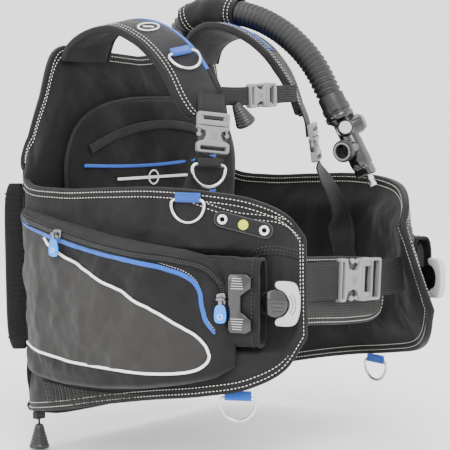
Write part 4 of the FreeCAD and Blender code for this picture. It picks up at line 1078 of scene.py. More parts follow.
class VEST_OT_back_pad(VestOperator, bpy.types.Operator):
    """Build the back pad, full in the middle and softly creased, with its pocket and stripes"""
    bl_idname = "vest.back_pad"
    bl_label = "Back Pad"
    HALF = [(0, 186), (60, 184), (120, 172), (158, 150), (180, 110), (181, 40), (168, -60),
            (150, -150), (108, -184), (0, -190)]
    FRONT, REAR = -157.0, -134.0

    def build(self):
        outline = np.array(rounded(self.HALF + mirror_loop(self.HALF)[1:-1], 150))
        outline *= 0.985
        pad = self.puff(outline)
        made = pad.finish("root", "pad_cloth", ["back_pad"], sharp=70)
        self.dress(outline)

    def puff(self, outline):
        """Front and rear shells between the middle and the outline."""
        share = np.concatenate([np.linspace(0.02, 0.9, 26), np.linspace(0.92, 1.0, 8)])
        middle, half = (self.FRONT + self.REAR) / 2, (self.REAR - self.FRONT) / 2
        rings = []
        for sign in (-1, 1):
            for s in (share if sign < 0 else share[::-1]):
                flat = outline * s
                rise = (1 - s ** 7) ** 0.45 if s < 1 else 0.0
                y = middle + sign * half * (0.12 + 0.88 * rise)
                points = np.stack([flat[:, 0], np.full(len(flat), y), flat[:, 1]], 1)
                points[:, 1] += (crumple(points, 60, 5.0, seed=2.0) - 2) * rise * 0.8
                rings.append(points)
        return Piece("back_pad_cloth").add(skin_mesh(np.array(rings)), "brushed_lining")

    def face(self, x, z):
        """The pad's front face at the places."""
        return np.stack([x, np.full_like(x, self.FRONT - 2.6), z], 1)

    def dress(self, outline):
        """A rim of piping, the pocket's mouth and two curved blue stripes."""
        rim = np.stack([outline[:, 0], np.full(len(outline), (self.FRONT + self.REAR) / 2),
                        outline[:, 1]], 1)
        Piece("back_pad_rim").add(skin_mesh(tube_rings(rim, 3.4, 12, closed=True), closed=True),
                                  "binding_tape").finish("root", "pad_cloth", sharp=80)
        out = np.array((0.0, -1.0, 0.0))
        x = np.linspace(-158, 120, 90)
        stripes = Piece("back_pad_stripes")
        for height, bow in ((98, 10), (44, 8)):
            z = height + x * 0.03 - bow * np.cos(x / 180 * np.pi / 2)
            rings = ribbon_rings(self.face(x, z), np.broadcast_to(out, (90, 3)), 2.4, 2.0, 3.0, 12)
            stripes.add(skin_mesh(rings), "blue_tape")
        stripes.finish("root", "blue_webbing", sharp=70)
        mark = Piece("back_pad_mark")
        ring = [(11 * math.cos(a), 11 * math.sin(a)) for a in np.linspace(0, 2 * np.pi, 48)[:-1]]
        place = pose((-20, self.FRONT - 4.4, 70), (0, 0, 1), (0, -1, 0))
        mark.add(plate([ring, [(a * 0.8, b * 0.8) for a, b in reversed(ring)]], 1.2, 0.3),
                 "mark_paint", place)
        mark.add(plate([oblong(150, 4, 1.9)], 1.2, 0.3), "mark_paint",
                 pose((-20, self.FRONT - 3.7, 70), (0, 0, 1), (0, -1, 0)))
        mark.finish("root")
        x = np.linspace(-148, 148, 90)
        mouth = 146 - (x / 150) ** 2 * 34
        flap = Piece("back_pad_pocket_mouth")
        rings = ribbon_rings(self.face(x, mouth), np.broadcast_to(out, (90, 3)), 6.5, 2.2, 3.0, 14)
        flap.add(skin_mesh(rings), "binding_tape")
        flap.finish("root", "pad_cloth", sharp=70)


class VEST_OT_belts(VestOperator, bpy.types.Operator):
    """Build the cummerbund and all the webbing"""
    bl_idname = "vest.belts"
    bl_label = "Cummerbund and Webbing"
    # (x, y, top, bottom) of the cummerbund's outer face
    CUMMERBUND = [(-193, -300, -22, -104), (-187, -350, -20, -106), (-172, -395, -19, -108),
                  (-146, -436, -19, -110), (-105, -464, -20, -111), (-50, -474, -23, -114),
                  (30, -478, -29, -121), (84, -477, -36, -122), (104, -475, -46, -116),
                  (112, -474, -58, -102)]
    WAIST = {"right": [(-176, -400, -60), (-149, -440, -58), (-106, -468, -56), (-55, -479, -55),
                       (-16.5, -489, -56)],
             "left": [(35, -482.4, -59), (100, -483.6, -63), (118, -485, -63), (141, -487, -61)]}
    STERNUM = {"right": [(-83, -343, 188), (-62, -349, 187.5), (-39.6, -353, 187.9)],
               "left": [(-1, -345.2, 189), (34, -344.6, 190), (60, -343.8, 191),
                        (83, -341, 191)]}
    CHEST = {"right": [(-119.5, -356, 109.3), (-122, -352, 98), (-137, -344, 66),
                       (-159, -345, 30), (-178, -348, -6), (-188, -352, -40), (-191, -366, -99),
                       (-192, -380, -160)],
             "left": [(114.5, -357, 90.3), (119, -358, 80), (138, -361, 56), (161, -360, 26),
                      (179, -354, -6), (189, -352, -40), (192, -366, -99), (193, -380, -160)]}
    CHEST_FACE = [(0.5, -0.85, 0)] * 2 + [(0.2, -0.95, 0.2), (-0.2, -0.9, 0.4),
                                          (-0.7, -0.6, 0.3)] + [(-1, -0.1, 0)] * 3
    LINK = [(0, 8, 1), (0, 8, 24), (0, 13, 46)]

    def build(self):
        self.cummerbund()
        front = [(0, -1, 0)]
        self.group("waist_belt", [(p, front * len(p), 50) for p in self.WAIST.values()],
                   "waist_webbing")
        self.group("sternum_belt", [(p, front * len(p), 25) for p in self.STERNUM.values()],
                   "sternum_webbing")
        lines = []
        for word, side in SIDES.items():
            faces = [tuple(mirrored(face, side)) for face in self.CHEST_FACE]
            lines.append((self.CHEST[word], faces, 38))
            at, up, out = SHOULDER_BUCKLE[word]
            place = pose(at, up, out)
            lines.append(([tuple(place @ Vector(p)) for p in self.LINK], [out] * 3, 38))
        self.group("chest_belts", lines, "chest_webbing")

    def group(self, name, lines, node):
        belts, rows = Piece(name), []
        for points, faces, width in lines:
            count = 20 * len(points)
            at = np.linspace(0, len(points) - 1, count)
            line, face = through(points, at), unit(through(faces, at))
            across = unit(np.cross(face, run_of(line)))
            out = unit(np.cross(run_of(line), across))
            out *= np.sign(np.sum(out * face, axis=1))[:, None]
            rings = rings_round(line + out, across, out, width / 2, 1.25, 8.0, 20)
            belts.add(skin_mesh(rings), "belt_webbing")
            for sign in (-1, 1):
                rows.append((line + out * 2.3 + across * sign * (width / 2 - 3.5), out))
        belts.finish("root", "webbing", [node], sharp=50)
        sew(name + "_stitches", rows, material="dark_thread", scale=0.8)

    def cummerbund(self):
        at = np.linspace(0, len(self.CUMMERBUND) - 1, 170)
        x, y, top, bottom = through(self.CUMMERBUND, at).T
        flat = np.stack([x, y, 0 * x], 1)
        run = run_of(flat)
        out = np.stack([run[:, 1], -run[:, 0], 0 * x], 1)
        up = np.broadcast_to((0.0, 0.0, 1.0), (170, 3))
        middle = np.stack([x, y, (top + bottom) / 2], 1) - out * 4
        half = (top - bottom) / 2
        rings = rings_round(middle, up, out, half, 4.0, 7.0, 46)
        made = Piece("cummerbund_cloth").add(skin_mesh(rings), "strap_polyester").finish(
            "root", "grey_nylon", ["cummerbund"], sharp=50)
        face = middle + out * 4.5
        rows = []
        for inset in (4.0, 9.5):
            loop = np.concatenate([face + up * (half - inset)[:, None],
                                   (face - up * (half - inset)[:, None])[::-1]])
            rows.append((even(loop, 500), even(np.concatenate([out, out[::-1]]), 500)))
        sew("cummerbund_stitches", rows)
        band = slice(60, 158)
        mesh_middle = (face - up * (half * 0.5)[:, None])[band]
        rings = rings_round(mesh_middle + out[band] * 0.2, up[band], out[band],
                            half[band] * 0.28, 0.9, 6.0, 20)
        Piece("cummerbund_mesh").add(skin_mesh(rings), "spacer_mesh").finish(
            "root", "grey_nylon", sharp=60)


SHOULDER_BUCKLE = {"right": ((-113, -354, 148), (0.17, 0.1, 0.98), (-0.46, -0.88, 0.12)),
                   "left": ((110, -354, 130), (-0.12, 0.08, 0.99), (0.46, -0.88, 0.1))}
BUCKLES = {"right_shoulder": (*SHOULDER_BUCKLE["right"], 38, 36, 18),
           "left_shoulder": (*SHOULDER_BUCKLE["left"], 38, 36, 18),
           "sternum": ((-3, -353, 189), (1, 0.02, 0.03), (0.02, -1, 0), 25, 36, 24),
           "waist": ((32, -491, -59), (1, -0.02, -0.06), (-0.02, -1, 0), 50, 48, 44)}


class VEST_OT_buckles(VestOperator, bpy.types.Operator):
    """Build the side-release buckles, each as a socket and a plug"""
    bl_idname = "vest.buckles"
    bl_label = "Buckles"
    DEPTH = 11.0

    def build(self):
        for word, (at, up, out, web, socket, plug) in BUCKLES.items():
            place = pose(at, up, out)
            self.socket(word, place, web + 8, socket)
            self.plug(word, place, web + 8, socket, plug)

    def socket(self, word, place, wide, length):
        half, waist = wide / 2, wide * 0.2
        deep = length - 16
        side = [(half, -0.4), (half, -3.5), (half * 0.84, -5.0), (waist + 2.5, -deep * 0.35),
                (waist + 1.0, -deep * 0.6), (waist + 4, -deep * 0.95), (half - 2.5, -deep - 1.5),
                (half, -deep - 4), (half, -length + 2.5), (half - 2.5, -length)]
        outline = mirror_loop(side) + side
        slot = oblong(wide - 9, 5.5, 1.5, 0, -length + 6.0)
        body = Piece(f"{word}_socket_shell")
        body.add(plate([outline, slot], self.DEPTH * 0.86, 1.3), "pale_nylon", place)
        inner = oblong(wide - 5, deep, 3.0, 0, -deep / 2 - 1.5)
        body.add(plate([inner], 4.0, 0.6), "dark_nylon", place @ Matrix.Translation((0, 2.6, 0)))
        for row in range(3):
            body.add(plate([oblong(wide * 0.2, 1.2, 0.5, 0, -deep * 0.45 - row * 3.4)], 1.4, 0.4),
                     "pale_nylon", place @ Matrix.Translation((0, -self.DEPTH * 0.43, 0)))
        body.finish("root", "grey_plastic", [f"{word}_buckle_socket"], sharp=40)

    def plug(self, word, place, wide, socket, length):
        half, deep = wide / 2, socket - 16
        body = Piece(f"{word}_plug_frame")
        frame_loop = oblong(wide, length, 3.5, 0, length / 2 + 0.6)
        slots = [oblong(wide - 8, max(length - 14, 5), 1.8, 0, length / 2 + 1.6)]
        if length > 30:
            slots = [oblong(wide - 8, (length - 14) / 2, 1.8, 0, length * part + 1.2)
                     for part in (0.3, 0.72)]
        body.add(plate([frame_loop] + slots, self.DEPTH * 0.72, 1.2), "pale_nylon", place)
        bar = tube_rings(np.array([(-half + 3, 0, length * 0.62), (half - 3, 0, length * 0.62)]),
                         2.2, 12)
        body.add(skin_mesh(bar), "dark_nylon", place)
        for sign in (-1, 1):
            prong = [(0.66, 0.8), (0.93, 0.8), (0.97, -0.2), (0.9, -0.42), (0.99, -0.6),
                     (0.94, -0.78), (0.8, -0.8), (0.72, -0.66), (0.8, -0.52), (0.74, -0.3),
                     (0.68, -0.05)]
            loop = [(sign * x * half, z * deep * 0.92) for x, z in prong]
            if sign < 0:
                loop.reverse()
            body.add(plate([rounded(loop, 60)], 4.6, 0.9), "pale_nylon", place)
        body.finish(f"{word}_release_body", "grey_plastic", [f"{word}_buckle_plug"], sharp=40)


def lobe_in(index):
    """The direction into the lobe at one of its drawn stations."""
    before, after = WALL[CORNER + index - 1], WALL[min(CORNER + index + 1, len(WALL) - 1)]
    run = (after - before).sum(0)
    return unit((run[1], -run[0], 0))


def lobe_spot(u, side, share_of=None, z=None):
    """A point of a lobe's drawn wall and its outward direction, by height or on an edge."""
    index = min(int(u), len(WALL) - CORNER - 2)
    f = u - index
    top, bottom = WALL[CORNER + index] * (1 - f) + WALL[CORNER + index + 1] * f
    inside = unit(lobe_in(index) * (1 - f) + lobe_in(index + 1) * f)
    share = share_of if share_of is not None else (top[2] - z) / (top[2] - bottom[2])
    point = top + (bottom - top) * share
    return mirrored(point, side), mirrored(-inside, side)


def wall_place(u, z, side, offset, turn=0.0):
    at, out = lobe_spot(u, side, z=z)
    up = Vector((0, 0, 1))
    forward = out.cross(up) * side
    lean = up * math.cos(math.radians(turn)) + forward * math.sin(math.radians(turn))
    return pose(at + out * offset, lean, out)


def edge_place(u, side, drop, offset):
    at, out = lobe_spot(u, side, share_of=1.0)
    return pose(at + out * offset + Vector((0, 0, drop)), (0, 0, 1), out)


def strap_place(spot, side, lift):
    index = int(spot)
    neck, arm = STRAP[index] * (1 - spot + index) + STRAP[index + 1] * (spot - index)
    run = Vector(STRAP[index][0] - STRAP[index + 1][0]).normalized()

    def outward(k):
        along = (STRAP[min(k + 1, len(STRAP) - 1)] - STRAP[max(k - 1, 0)]).sum(0)
        return np.cross(along, STRAP[k][1] - STRAP[k][0])
    out = Vector(unit(outward(index)) * (1 - spot + index)
                 + unit(outward(index + 1)) * (spot - index)).normalized()
    at = Vector(neck * 0.58 + arm * 0.42) + out * lift
    return pose(mirrored(at, side), mirrored(run, side), mirrored(out, side))


def sleeve_place(side, along, outward=0.0):
    """Local -Y faces out; along is measured back from the sleeve's mouth."""
    at = MOUTH + SLIDE * along + SLEEVE_OUT * outward
    return pose(mirrored(at, side), (0, 0, 1), mirrored(SLEEVE_OUT, side))


class VEST_OT_rings(VestOperator, bpy.types.Operator):
    """Build the D-rings and the blue loops that hold them"""
    bl_idname = "vest.rings"
    bl_label = "Rings and Loops"
    WIRE, WIDTH, CORNER_RADIUS = 2.2, 46, 6

    def build(self):
        places = {"right_shoulder": (strap_place(5.25, RIGHT, 4.6), 30),
                  "right_chest": (pose((-128, -360, 98), (0.08, 0, 1), (-0.5, -0.85, 0)), 32),
                  "right_lobe": (wall_place(4.75, 58, RIGHT, 4.4), 34),
                  "left_lobe": (wall_place(4.75, 58, LEFT, 4.4), 34),
                  "right_bottom": (edge_place(5.75, RIGHT, -13, -9), 34),
                  "left_bottom": (edge_place(4.6, LEFT, -13, -9), 34)}
        loops, rows = Piece("ring_loops_cloth"), []
        for word, (place, length) in places.items():
            wire = tube_rings(self.outline(), self.WIRE, 14, closed=True)
            Piece(f"{word}_ring_wire").add(skin_mesh(wire, closed=True), "stainless_steel",
                                           place).finish(
                f"{word}_ring_swing_body", "steel", [f"{word}_ring"], sharp=80)
            self.loop(loops, rows, word, place, length)
        loops.finish("root", "blue_webbing", ["ring_loops"], sharp=50)
        sew("ring_loop_stitches", rows, material="dark_thread", scale=0.7)

    def outline(self):
        half, corner = self.WIDTH / 2, self.CORNER_RADIUS
        path = [(x, 0.0) for x in np.linspace(corner - half, half - corner, 12)]
        path += [(half - corner + corner * math.sin(a), -corner + corner * math.cos(a))
                 for a in np.linspace(0.2, math.pi / 2, 6)]
        path += [(half * math.cos(a), -corner - half * math.sin(a))
                 for a in np.linspace(0.08, math.pi - 0.08, 36)]
        path += [(corner - half - corner * math.cos(a), -corner + corner * math.sin(a))
                 for a in np.linspace(0, math.pi / 2 - 0.2, 6)]
        return np.array([(x, 0.0, z) for x, z in path])

    def loop(self, loops, rows, word, place, length):
        """A folded strap round the ring's bar, sewn shut above it."""
        outside = [(3.4 * math.sin(a), 3.4 * -math.cos(a)) for a in np.linspace(-1.9, 1.9, 20)]
        outside += [(1.6, 9.0), (-1.6, 9.0)]
        hole = arc(2.45, 6.1, 0, 18)
        turn = Matrix.Rotation(math.pi / 2, 4, "Z")
        material = "blue_tape" if word != "right_chest" else "belt_webbing"
        loops.add(plate([outside, hole], length, 0.5), material, place @ turn)
        x = np.linspace(-length / 2 + 2, length / 2 - 2, 12)
        points = np.array([place @ Vector((v, -2.0, 6.6)) for v in x])
        rows.append((points, tuple(place.to_3x3() @ Vector((0, -1, 0)))))


class VEST_OT_weight_pockets(VestOperator, bpy.types.Operator):
    """Build the weight sleeves with their latches, and the pouches with their grips"""
    bl_idname = "vest.weight_pockets"
    bl_label = "Weight Pockets"

    def build(self):
        latches = Piece("weight_latch_plates")
        for word, side in SIDES.items():
            self.sleeve(word, side)
            self.latch(latches, side)
            self.pouch(word, side)
            self.handle(word, side)
        latches.finish("root", "black_plastic", ["weight_latches"], sharp=40)

    def sleeve(self, word, side):
        """A cloth tunnel: round the outside to the mouth, and back along the inside."""
        place = sleeve_place(side, 0)
        stations = np.linspace(178, 0, 60)
        tail = smooth_step((178 - stations) / 26)
        lip = smooth_step(stations / 8)
        outer = self.section(place, side, stations, 48 + 8.5 * tail - 1.5 * (1 - lip),
                             11 + 5.6 * tail - 0.8 * (1 - lip))
        soft = crumple(outer * (side, 1, 1), 34, 2.6, seed=6.0 + side) - 1.0
        middle = outer.mean(1, keepdims=True)
        outer = outer + unit(outer - middle) * (soft * lip[:, None])[..., None] * 0.8
        inside = np.linspace(0, 172, 20)
        inner = self.section(place, side, inside, np.full(20, 52.5), np.full(20, 13.2))
        Piece(f"{word}_weight_sleeve_cloth").add(
            skin_mesh(np.concatenate([outer, inner])), "coated_nylon").finish(
            "root", "weight_cloth", [f"{word}_weight_sleeve"], sharp=50)
        rim = self.section(place, side, np.zeros(1), np.array([54.6]), np.array([15.0]), 90)[0]
        Piece(f"{word}_weight_mouth_binding").add(
            skin_mesh(tube_rings(rim, 2.3, 10, closed=True), closed=True), "binding_tape").finish(
            "root", "weight_cloth", sharp=80)
        rows = []
        for along in (7.5, 60.0, 64.5):
            ring = self.section(place, side, np.array([along]), np.array([57.0]),
                                np.array([16.8]), 120)[0]
            rows.append((ring, unit(ring - ring.mean(0))))
        sew(f"{word}_weight_mouth_stitches", rows, material="dark_thread")

    def section(self, place, side, stations, half_height, half_depth, count=56):
        centre = np.array([place @ Vector((side * s, 0, 0)) for s in stations])
        turn = place.to_3x3()
        up = np.broadcast_to(np.array((0.0, 0.0, 1.0)), centre.shape)
        out = np.broadcast_to(np.array(turn @ Vector((0, -1, 0))), centre.shape)
        return rings_round(centre, up, out, half_height, half_depth, 4.0, count)

    def latch(self, latches, side):
        place = sleeve_place(side, 22, 19)
        front = -side
        outline = [(front * x, z) for x, z in (
            (15, 20), (15, 33), (9, 37), (-12, 37), (-15, 33), (-15, -33), (-12, -37), (9, -37),
            (15, -33), (15, -20), (8, -15), (1.5, -10), (1.5, 10), (8, 15))]
        if front < 0:
            outline.reverse()
        latches.add(plate([outline], 6, 1.2), "gloss_plastic", place)
        for sign in (-1, 1):
            for row in range(5):
                z = sign * (19 + row * 3.2)
                latches.add(plate([oblong(17 - row * 1.2, 0.9, 0.4, -front * 3.0, z)], 1.2, 0.35),
                            "grip_plastic", place @ Matrix.Translation((0, -3.0, 0)))

    def pouch(self, word, side):
        place = sleeve_place(side, 0)
        stations = np.linspace(4, 162, 26)
        ends = np.minimum(stations - 3, 163.5 - stations)
        swell_out = np.sqrt(np.clip(ends / 12, 0, 1))
        rings = self.section(place, side, stations, 40 + 9.5 * swell_out, 5 + 6.8 * swell_out, 40)
        made = Piece(f"{word}_weight_pouch_cloth").add(skin_mesh(rings), "coated_nylon").finish(
            f"{word}_weight_pull_body", "weight_cloth", [f"{word}_weight_pouch"], sharp=60)

    def handle(self, word, side):
        place = pose(mirrored(GRIP, side), (0, 0, 1), mirrored(SLEEVE_OUT, side))
        front = -side
        grip = [(-12, 27), (-6, 28), (6, 27.5), (11.5, 25.5), (16.5, 14), (18, 0), (16.5, -14),
                (11.5, -25.5), (6, -27.5), (-6, -28), (-12, -27), (-13.5, -23.5), (-11.5, -19.5),
                (-3, -15.5), (3, -9), (5, 0), (3, 9), (-3, 15.5), (-11.5, 19.5), (-13.5, 23.5)]
        piece = Piece(f"{word}_weight_grip")
        outline = [(front * x, z) for x, z in rounded(grip, 90)]
        if front > 0:
            outline.reverse()
        piece.add(plate([outline[::-1]], 10, 2.2), "grip_plastic", place)
        for radius in (8.5, 11.5, 14.5):
            arc = np.array([(front * (-5 + radius * 1.35 * math.cos(a)), -5.0,
                             radius * 1.35 * math.sin(a)) for a in np.linspace(-0.75, 0.75, 20)])
            piece.add(skin_mesh(tube_rings(arc, 0.45, 6)), "dark_nylon", place)
        disc = [(front * (-14 + 17.6 * math.cos(a)), 17.6 * math.sin(a))
                for a in np.linspace(0, 2 * np.pi, 49)[:-1]]
        if front < 0:
            disc.reverse()
        piece.add(plate([disc], 6.4, 1.0), "gloss_plastic", place)
        for row in range(-2, 3):
            piece.add(plate([oblong(20 - abs(row) * 3, 1.6, 0.7, front * -10, row * 5.0)], 1.8,
                            0.5), "gloss_plastic", place @ Matrix.Translation((0, -3.4, 0)))
        piece.add(plate([oblong(19, 28, 3, front * -22, 0)], 6.0, 1.0), "dark_nylon", place)
        piece.finish(f"{word}_weight_pull_body", "grey_plastic", [f"{word}_weight_handle"],
                     sharp=40)


class VEST_OT_sliders(VestOperator, bpy.types.Operator):
    """Build the zip sliders and their soft pulls"""
    bl_idname = "vest.sliders"
    bl_label = "Zip Sliders"
    DEPTH, REACH = 5.0, 8.0

    def build(self):
        for word, side in SIDES.items():
            for which in ("rear", "front") if side == RIGHT else ("rear",):
                self.slider(word, which, side)

    def zip_place(self, which, side):
        first, second, share, u = (1, 2, 0.12, 2.4) if which == "rear" else (7, 6, 0.15, 5.48)
        ends = []
        for index in (first, second):
            station, height = ZIP[index]
            at, out = lobe_spot(station, side, z=height)
            ends.append(at + out * pocket_row(station)[2])
        out = lobe_spot(u, side, z=0)[1]
        at = ends[0].lerp(ends[1], share) + out * (2.8 + self.DEPTH / 2)
        return pose(at, ends[1] - ends[0], out)

    def slider(self, word, which, side):
        place = self.zip_place(which, side)
        turn = place.to_3x3()
        hang = pose(place @ Vector((0, -self.REACH, 0)), (0, 0, 1), turn @ Vector((0, -1, 0)))
        piece = Piece(f"{word}_{which}_slider")
        body = rounded([(5.2, 6.5), (5.2, -3), (3.2, -7.6), (-3.2, -7.6), (-5.2, -3), (-5.2, 6.5),
                        (0, 7.6)], 40)
        piece.add(plate([body[::-1]], self.DEPTH, 1.1), "gunmetal", place)
        for sign in (-1, 1):
            arm = [(sign * 4.6 - 0.8, -1.6), (sign * 4.6 + 0.8, -1.6), (sign * 4.6 + 0.8, 1.6),
                   (sign * 4.6 - 0.8, 1.6)]
            piece.add(plate([arm], self.REACH - 1, 0.2), "gunmetal",
                      hang @ Matrix.Translation((0, self.REACH / 2 - 0.5, 0)))
        pin = tube_rings(np.array([(-5.2, 0, 0), (5.2, 0, 0)], float), 1.0, 10)
        piece.add(skin_mesh(pin), "gunmetal", hang)
        moving = f"{word}_{which}_zip_body"
        pull = piece
        nodes = [f"{word}_{which}_zip_slider"]
        if side == RIGHT:
            piece.finish(moving, "zip_metal", nodes, sharp=40)
            pull, moving = Piece(f"{word}_{which}_pull"), f"{word}_{which}_pull_flip_body"
            nodes = [f"{word}_{which}_zip_pull"]
        self.tab(pull, hang, which)
        pull.finish(moving, "blue_rubber" if side == RIGHT else "zip_metal", nodes, sharp=40)

    def tab(self, pull, hang, which):
        """The eye round the pin, a neck and a rounded tab with a raised ring on it."""
        eye = arc(2.4, 0, 6.1, 18)
        hole = arc(1.12, 6.1, 0, 14)
        pull.add(plate([eye, hole], 6, 0.3), "gunmetal",
                 hang @ Matrix.Rotation(math.pi / 2, 4, "Z"))
        pull.add(plate([oblong(5, 7, 1.2, 0, -5.2)], 2.2, 0.5), "gunmetal", hang)
        wide = 9.2 if which == "rear" else 7.6
        tab = rounded([(4.6, -7.4), (wide, -24), (wide - 2, -28.6), (2 - wide, -28.6),
                       (-wide, -24), (-4.6, -7.4), (0, -6.6)], 50)
        pull.add(plate([tab], 2.8, 0.9), "blue_rubber", hang)
        ring = arc(3.6, 0, 6.1, 24, z=-21.5)
        inner = [(x * 0.7, -21.5 + (z + 21.5) * 0.7) for x, z in reversed(ring)]
        pull.add(plate([ring, inner], 1.0, 0.3), "mark_paint",
                 hang @ Matrix.Translation((0, -1.4, 0)))


HOSE = np.array([(112, -85, 214), (112, -85, 262), (112, -110, 304), (113, -158, 319),
                 (115, -213, 311), (117, -263, 296), (118, -310, 269), (117, -350, 233)], float)
INFLATOR_TOP = Vector((119, -391, 162))
INFLATOR_DOWN = Vector((0.15, -0.42, -0.895)).normalized()
MOUTH_OUT, INFLATE_OUT, DEFLATE_OUT = (-1, -0.1, 0.05), (-0.85, -0.45, 0.35), (0.72, -0.6, 0.3)


def cut_corners(points, rounds=4):
    """A smooth line inside a polyline, by cutting its corners again and again."""
    points = np.asarray(points, float)
    for _ in range(rounds):
        quarter = points[:-1] * 0.75 + points[1:] * 0.25
        three = points[:-1] * 0.25 + points[1:] * 0.75
        inside = np.stack([quarter, three], 1).reshape(-1, 3)
        points = np.concatenate([points[:1], inside[1:-1], points[-1:]])
    return points


def inflator_place(out=MOUTH_OUT):
    return pose(INFLATOR_TOP, -INFLATOR_DOWN, out)


class VEST_OT_hose(VestOperator, bpy.types.Operator):
    """Build the corrugated hose, its cuffs, clamps, elbow and shoulder sleeve"""
    bl_idname = "vest.hose"
    bl_label = "Hose"
    CUFF, CLAMP, SLEEVE, SLEEVE_BORE = 18.9, 20.4, 22.0, 20.3       # radii

    def build(self):
        ends = [tuple(INFLATOR_TOP - INFLATOR_DOWN * 34), tuple(INFLATOR_TOP)]
        line = even(cut_corners(np.concatenate([HOSE, ends])), 400)
        s = sizes()
        grow("corrugated_hose_rings", TREES["hose"], [(line[18:-18], (0, 0, 1))],
             {"Radius": 0.0172, "Rise": 0.0016, "Pitch": s.ring_pitch, "Steps": 8, "Sides": 32,
              "Material": MATERIALS["hose_rubber"]},
             replaces=["corrugated_hose"])
        cuffs = Piece("hose_cuffs")
        for part in (line[:24], line[-26:]):
            cuffs.add(skin_mesh(tube_rings(part, self.CUFF, 36)), "hose_rubber")
        cuffs.finish("root", "rubber", sharp=60)
        clamps = Piece("hose_clamp_bands")
        for part, facing in ((line[3:10], (1, -1, 0)), (line[-11:-3], (0.6, -1, 0.4))):
            clamps.add(skin_mesh(tube_rings(part, self.CLAMP, 36)), "dark_nylon")
            run = unit(part[-1] - part[0])
            side_on = Vector(unit(np.cross(run, facing)))
            place = pose(Vector(part.mean(0)) + side_on * 21, run, side_on)
            clamps.add(plate([oblong(10, 6.5, 1.5)], 5, 1.0), "dark_nylon", place)
        clamps.finish("root", "black_plastic", ["hose_clamps"], sharp=50)
        self.sleeve()
        self.elbow()

    def sleeve(self):
        line = even(cut_corners(HOSE[2:5]), 60)
        outer = tube_rings(line, self.SLEEVE, 40)
        lean = crumple(outer, 30, 2.0, seed=4.0) - 1.0
        outer += unit(outer - line[:, None]) * lean[..., None]
        rings = np.concatenate([outer, tube_rings(line, self.SLEEVE_BORE, 40)[::-1]])
        Piece("hose_sleeve_cloth").add(skin_mesh(rings, closed=True), "coated_nylon").finish(
            "root", "black_nylon", ["hose_sleeve"], sharp=60)
        rows = []
        for index in (4, 8, 51, 55):
            ring = tube_rings(line[index - 1:index + 2], 22.6, 60)[1]
            rows.append((np.concatenate([ring, ring[:1]]),
                         np.concatenate([unit(ring - line[index]), unit(ring - line[index])[:1]])))
        sew("hose_sleeve_stitches", rows)

    def elbow(self):
        elbow = Piece("hose_elbow_body")
        place = Matrix.Translation(Vector(HOSE[0]))
        elbow.add(turned([(18.5, -44), (19.6, -42), (19.6, -30), (18.6, -28), (18.6, -6),
                          (20, -5), (20, -0.4), (18, 0)]), "dark_nylon", place)
        flange = [(23, 0), (26, 1.5), (26, 8), (24.5, 9), (21, 9.4), (20.4, 13.5), (12, 14)]
        elbow.add(turned(flange), "dark_nylon",
                  place @ Matrix.Translation((0, -20.9, -33)) @ Matrix.Rotation(-math.pi / 2, 4,
                                                                              "X"))
        elbow.finish("root", "black_plastic", ["hose_elbow"], sharp=40)


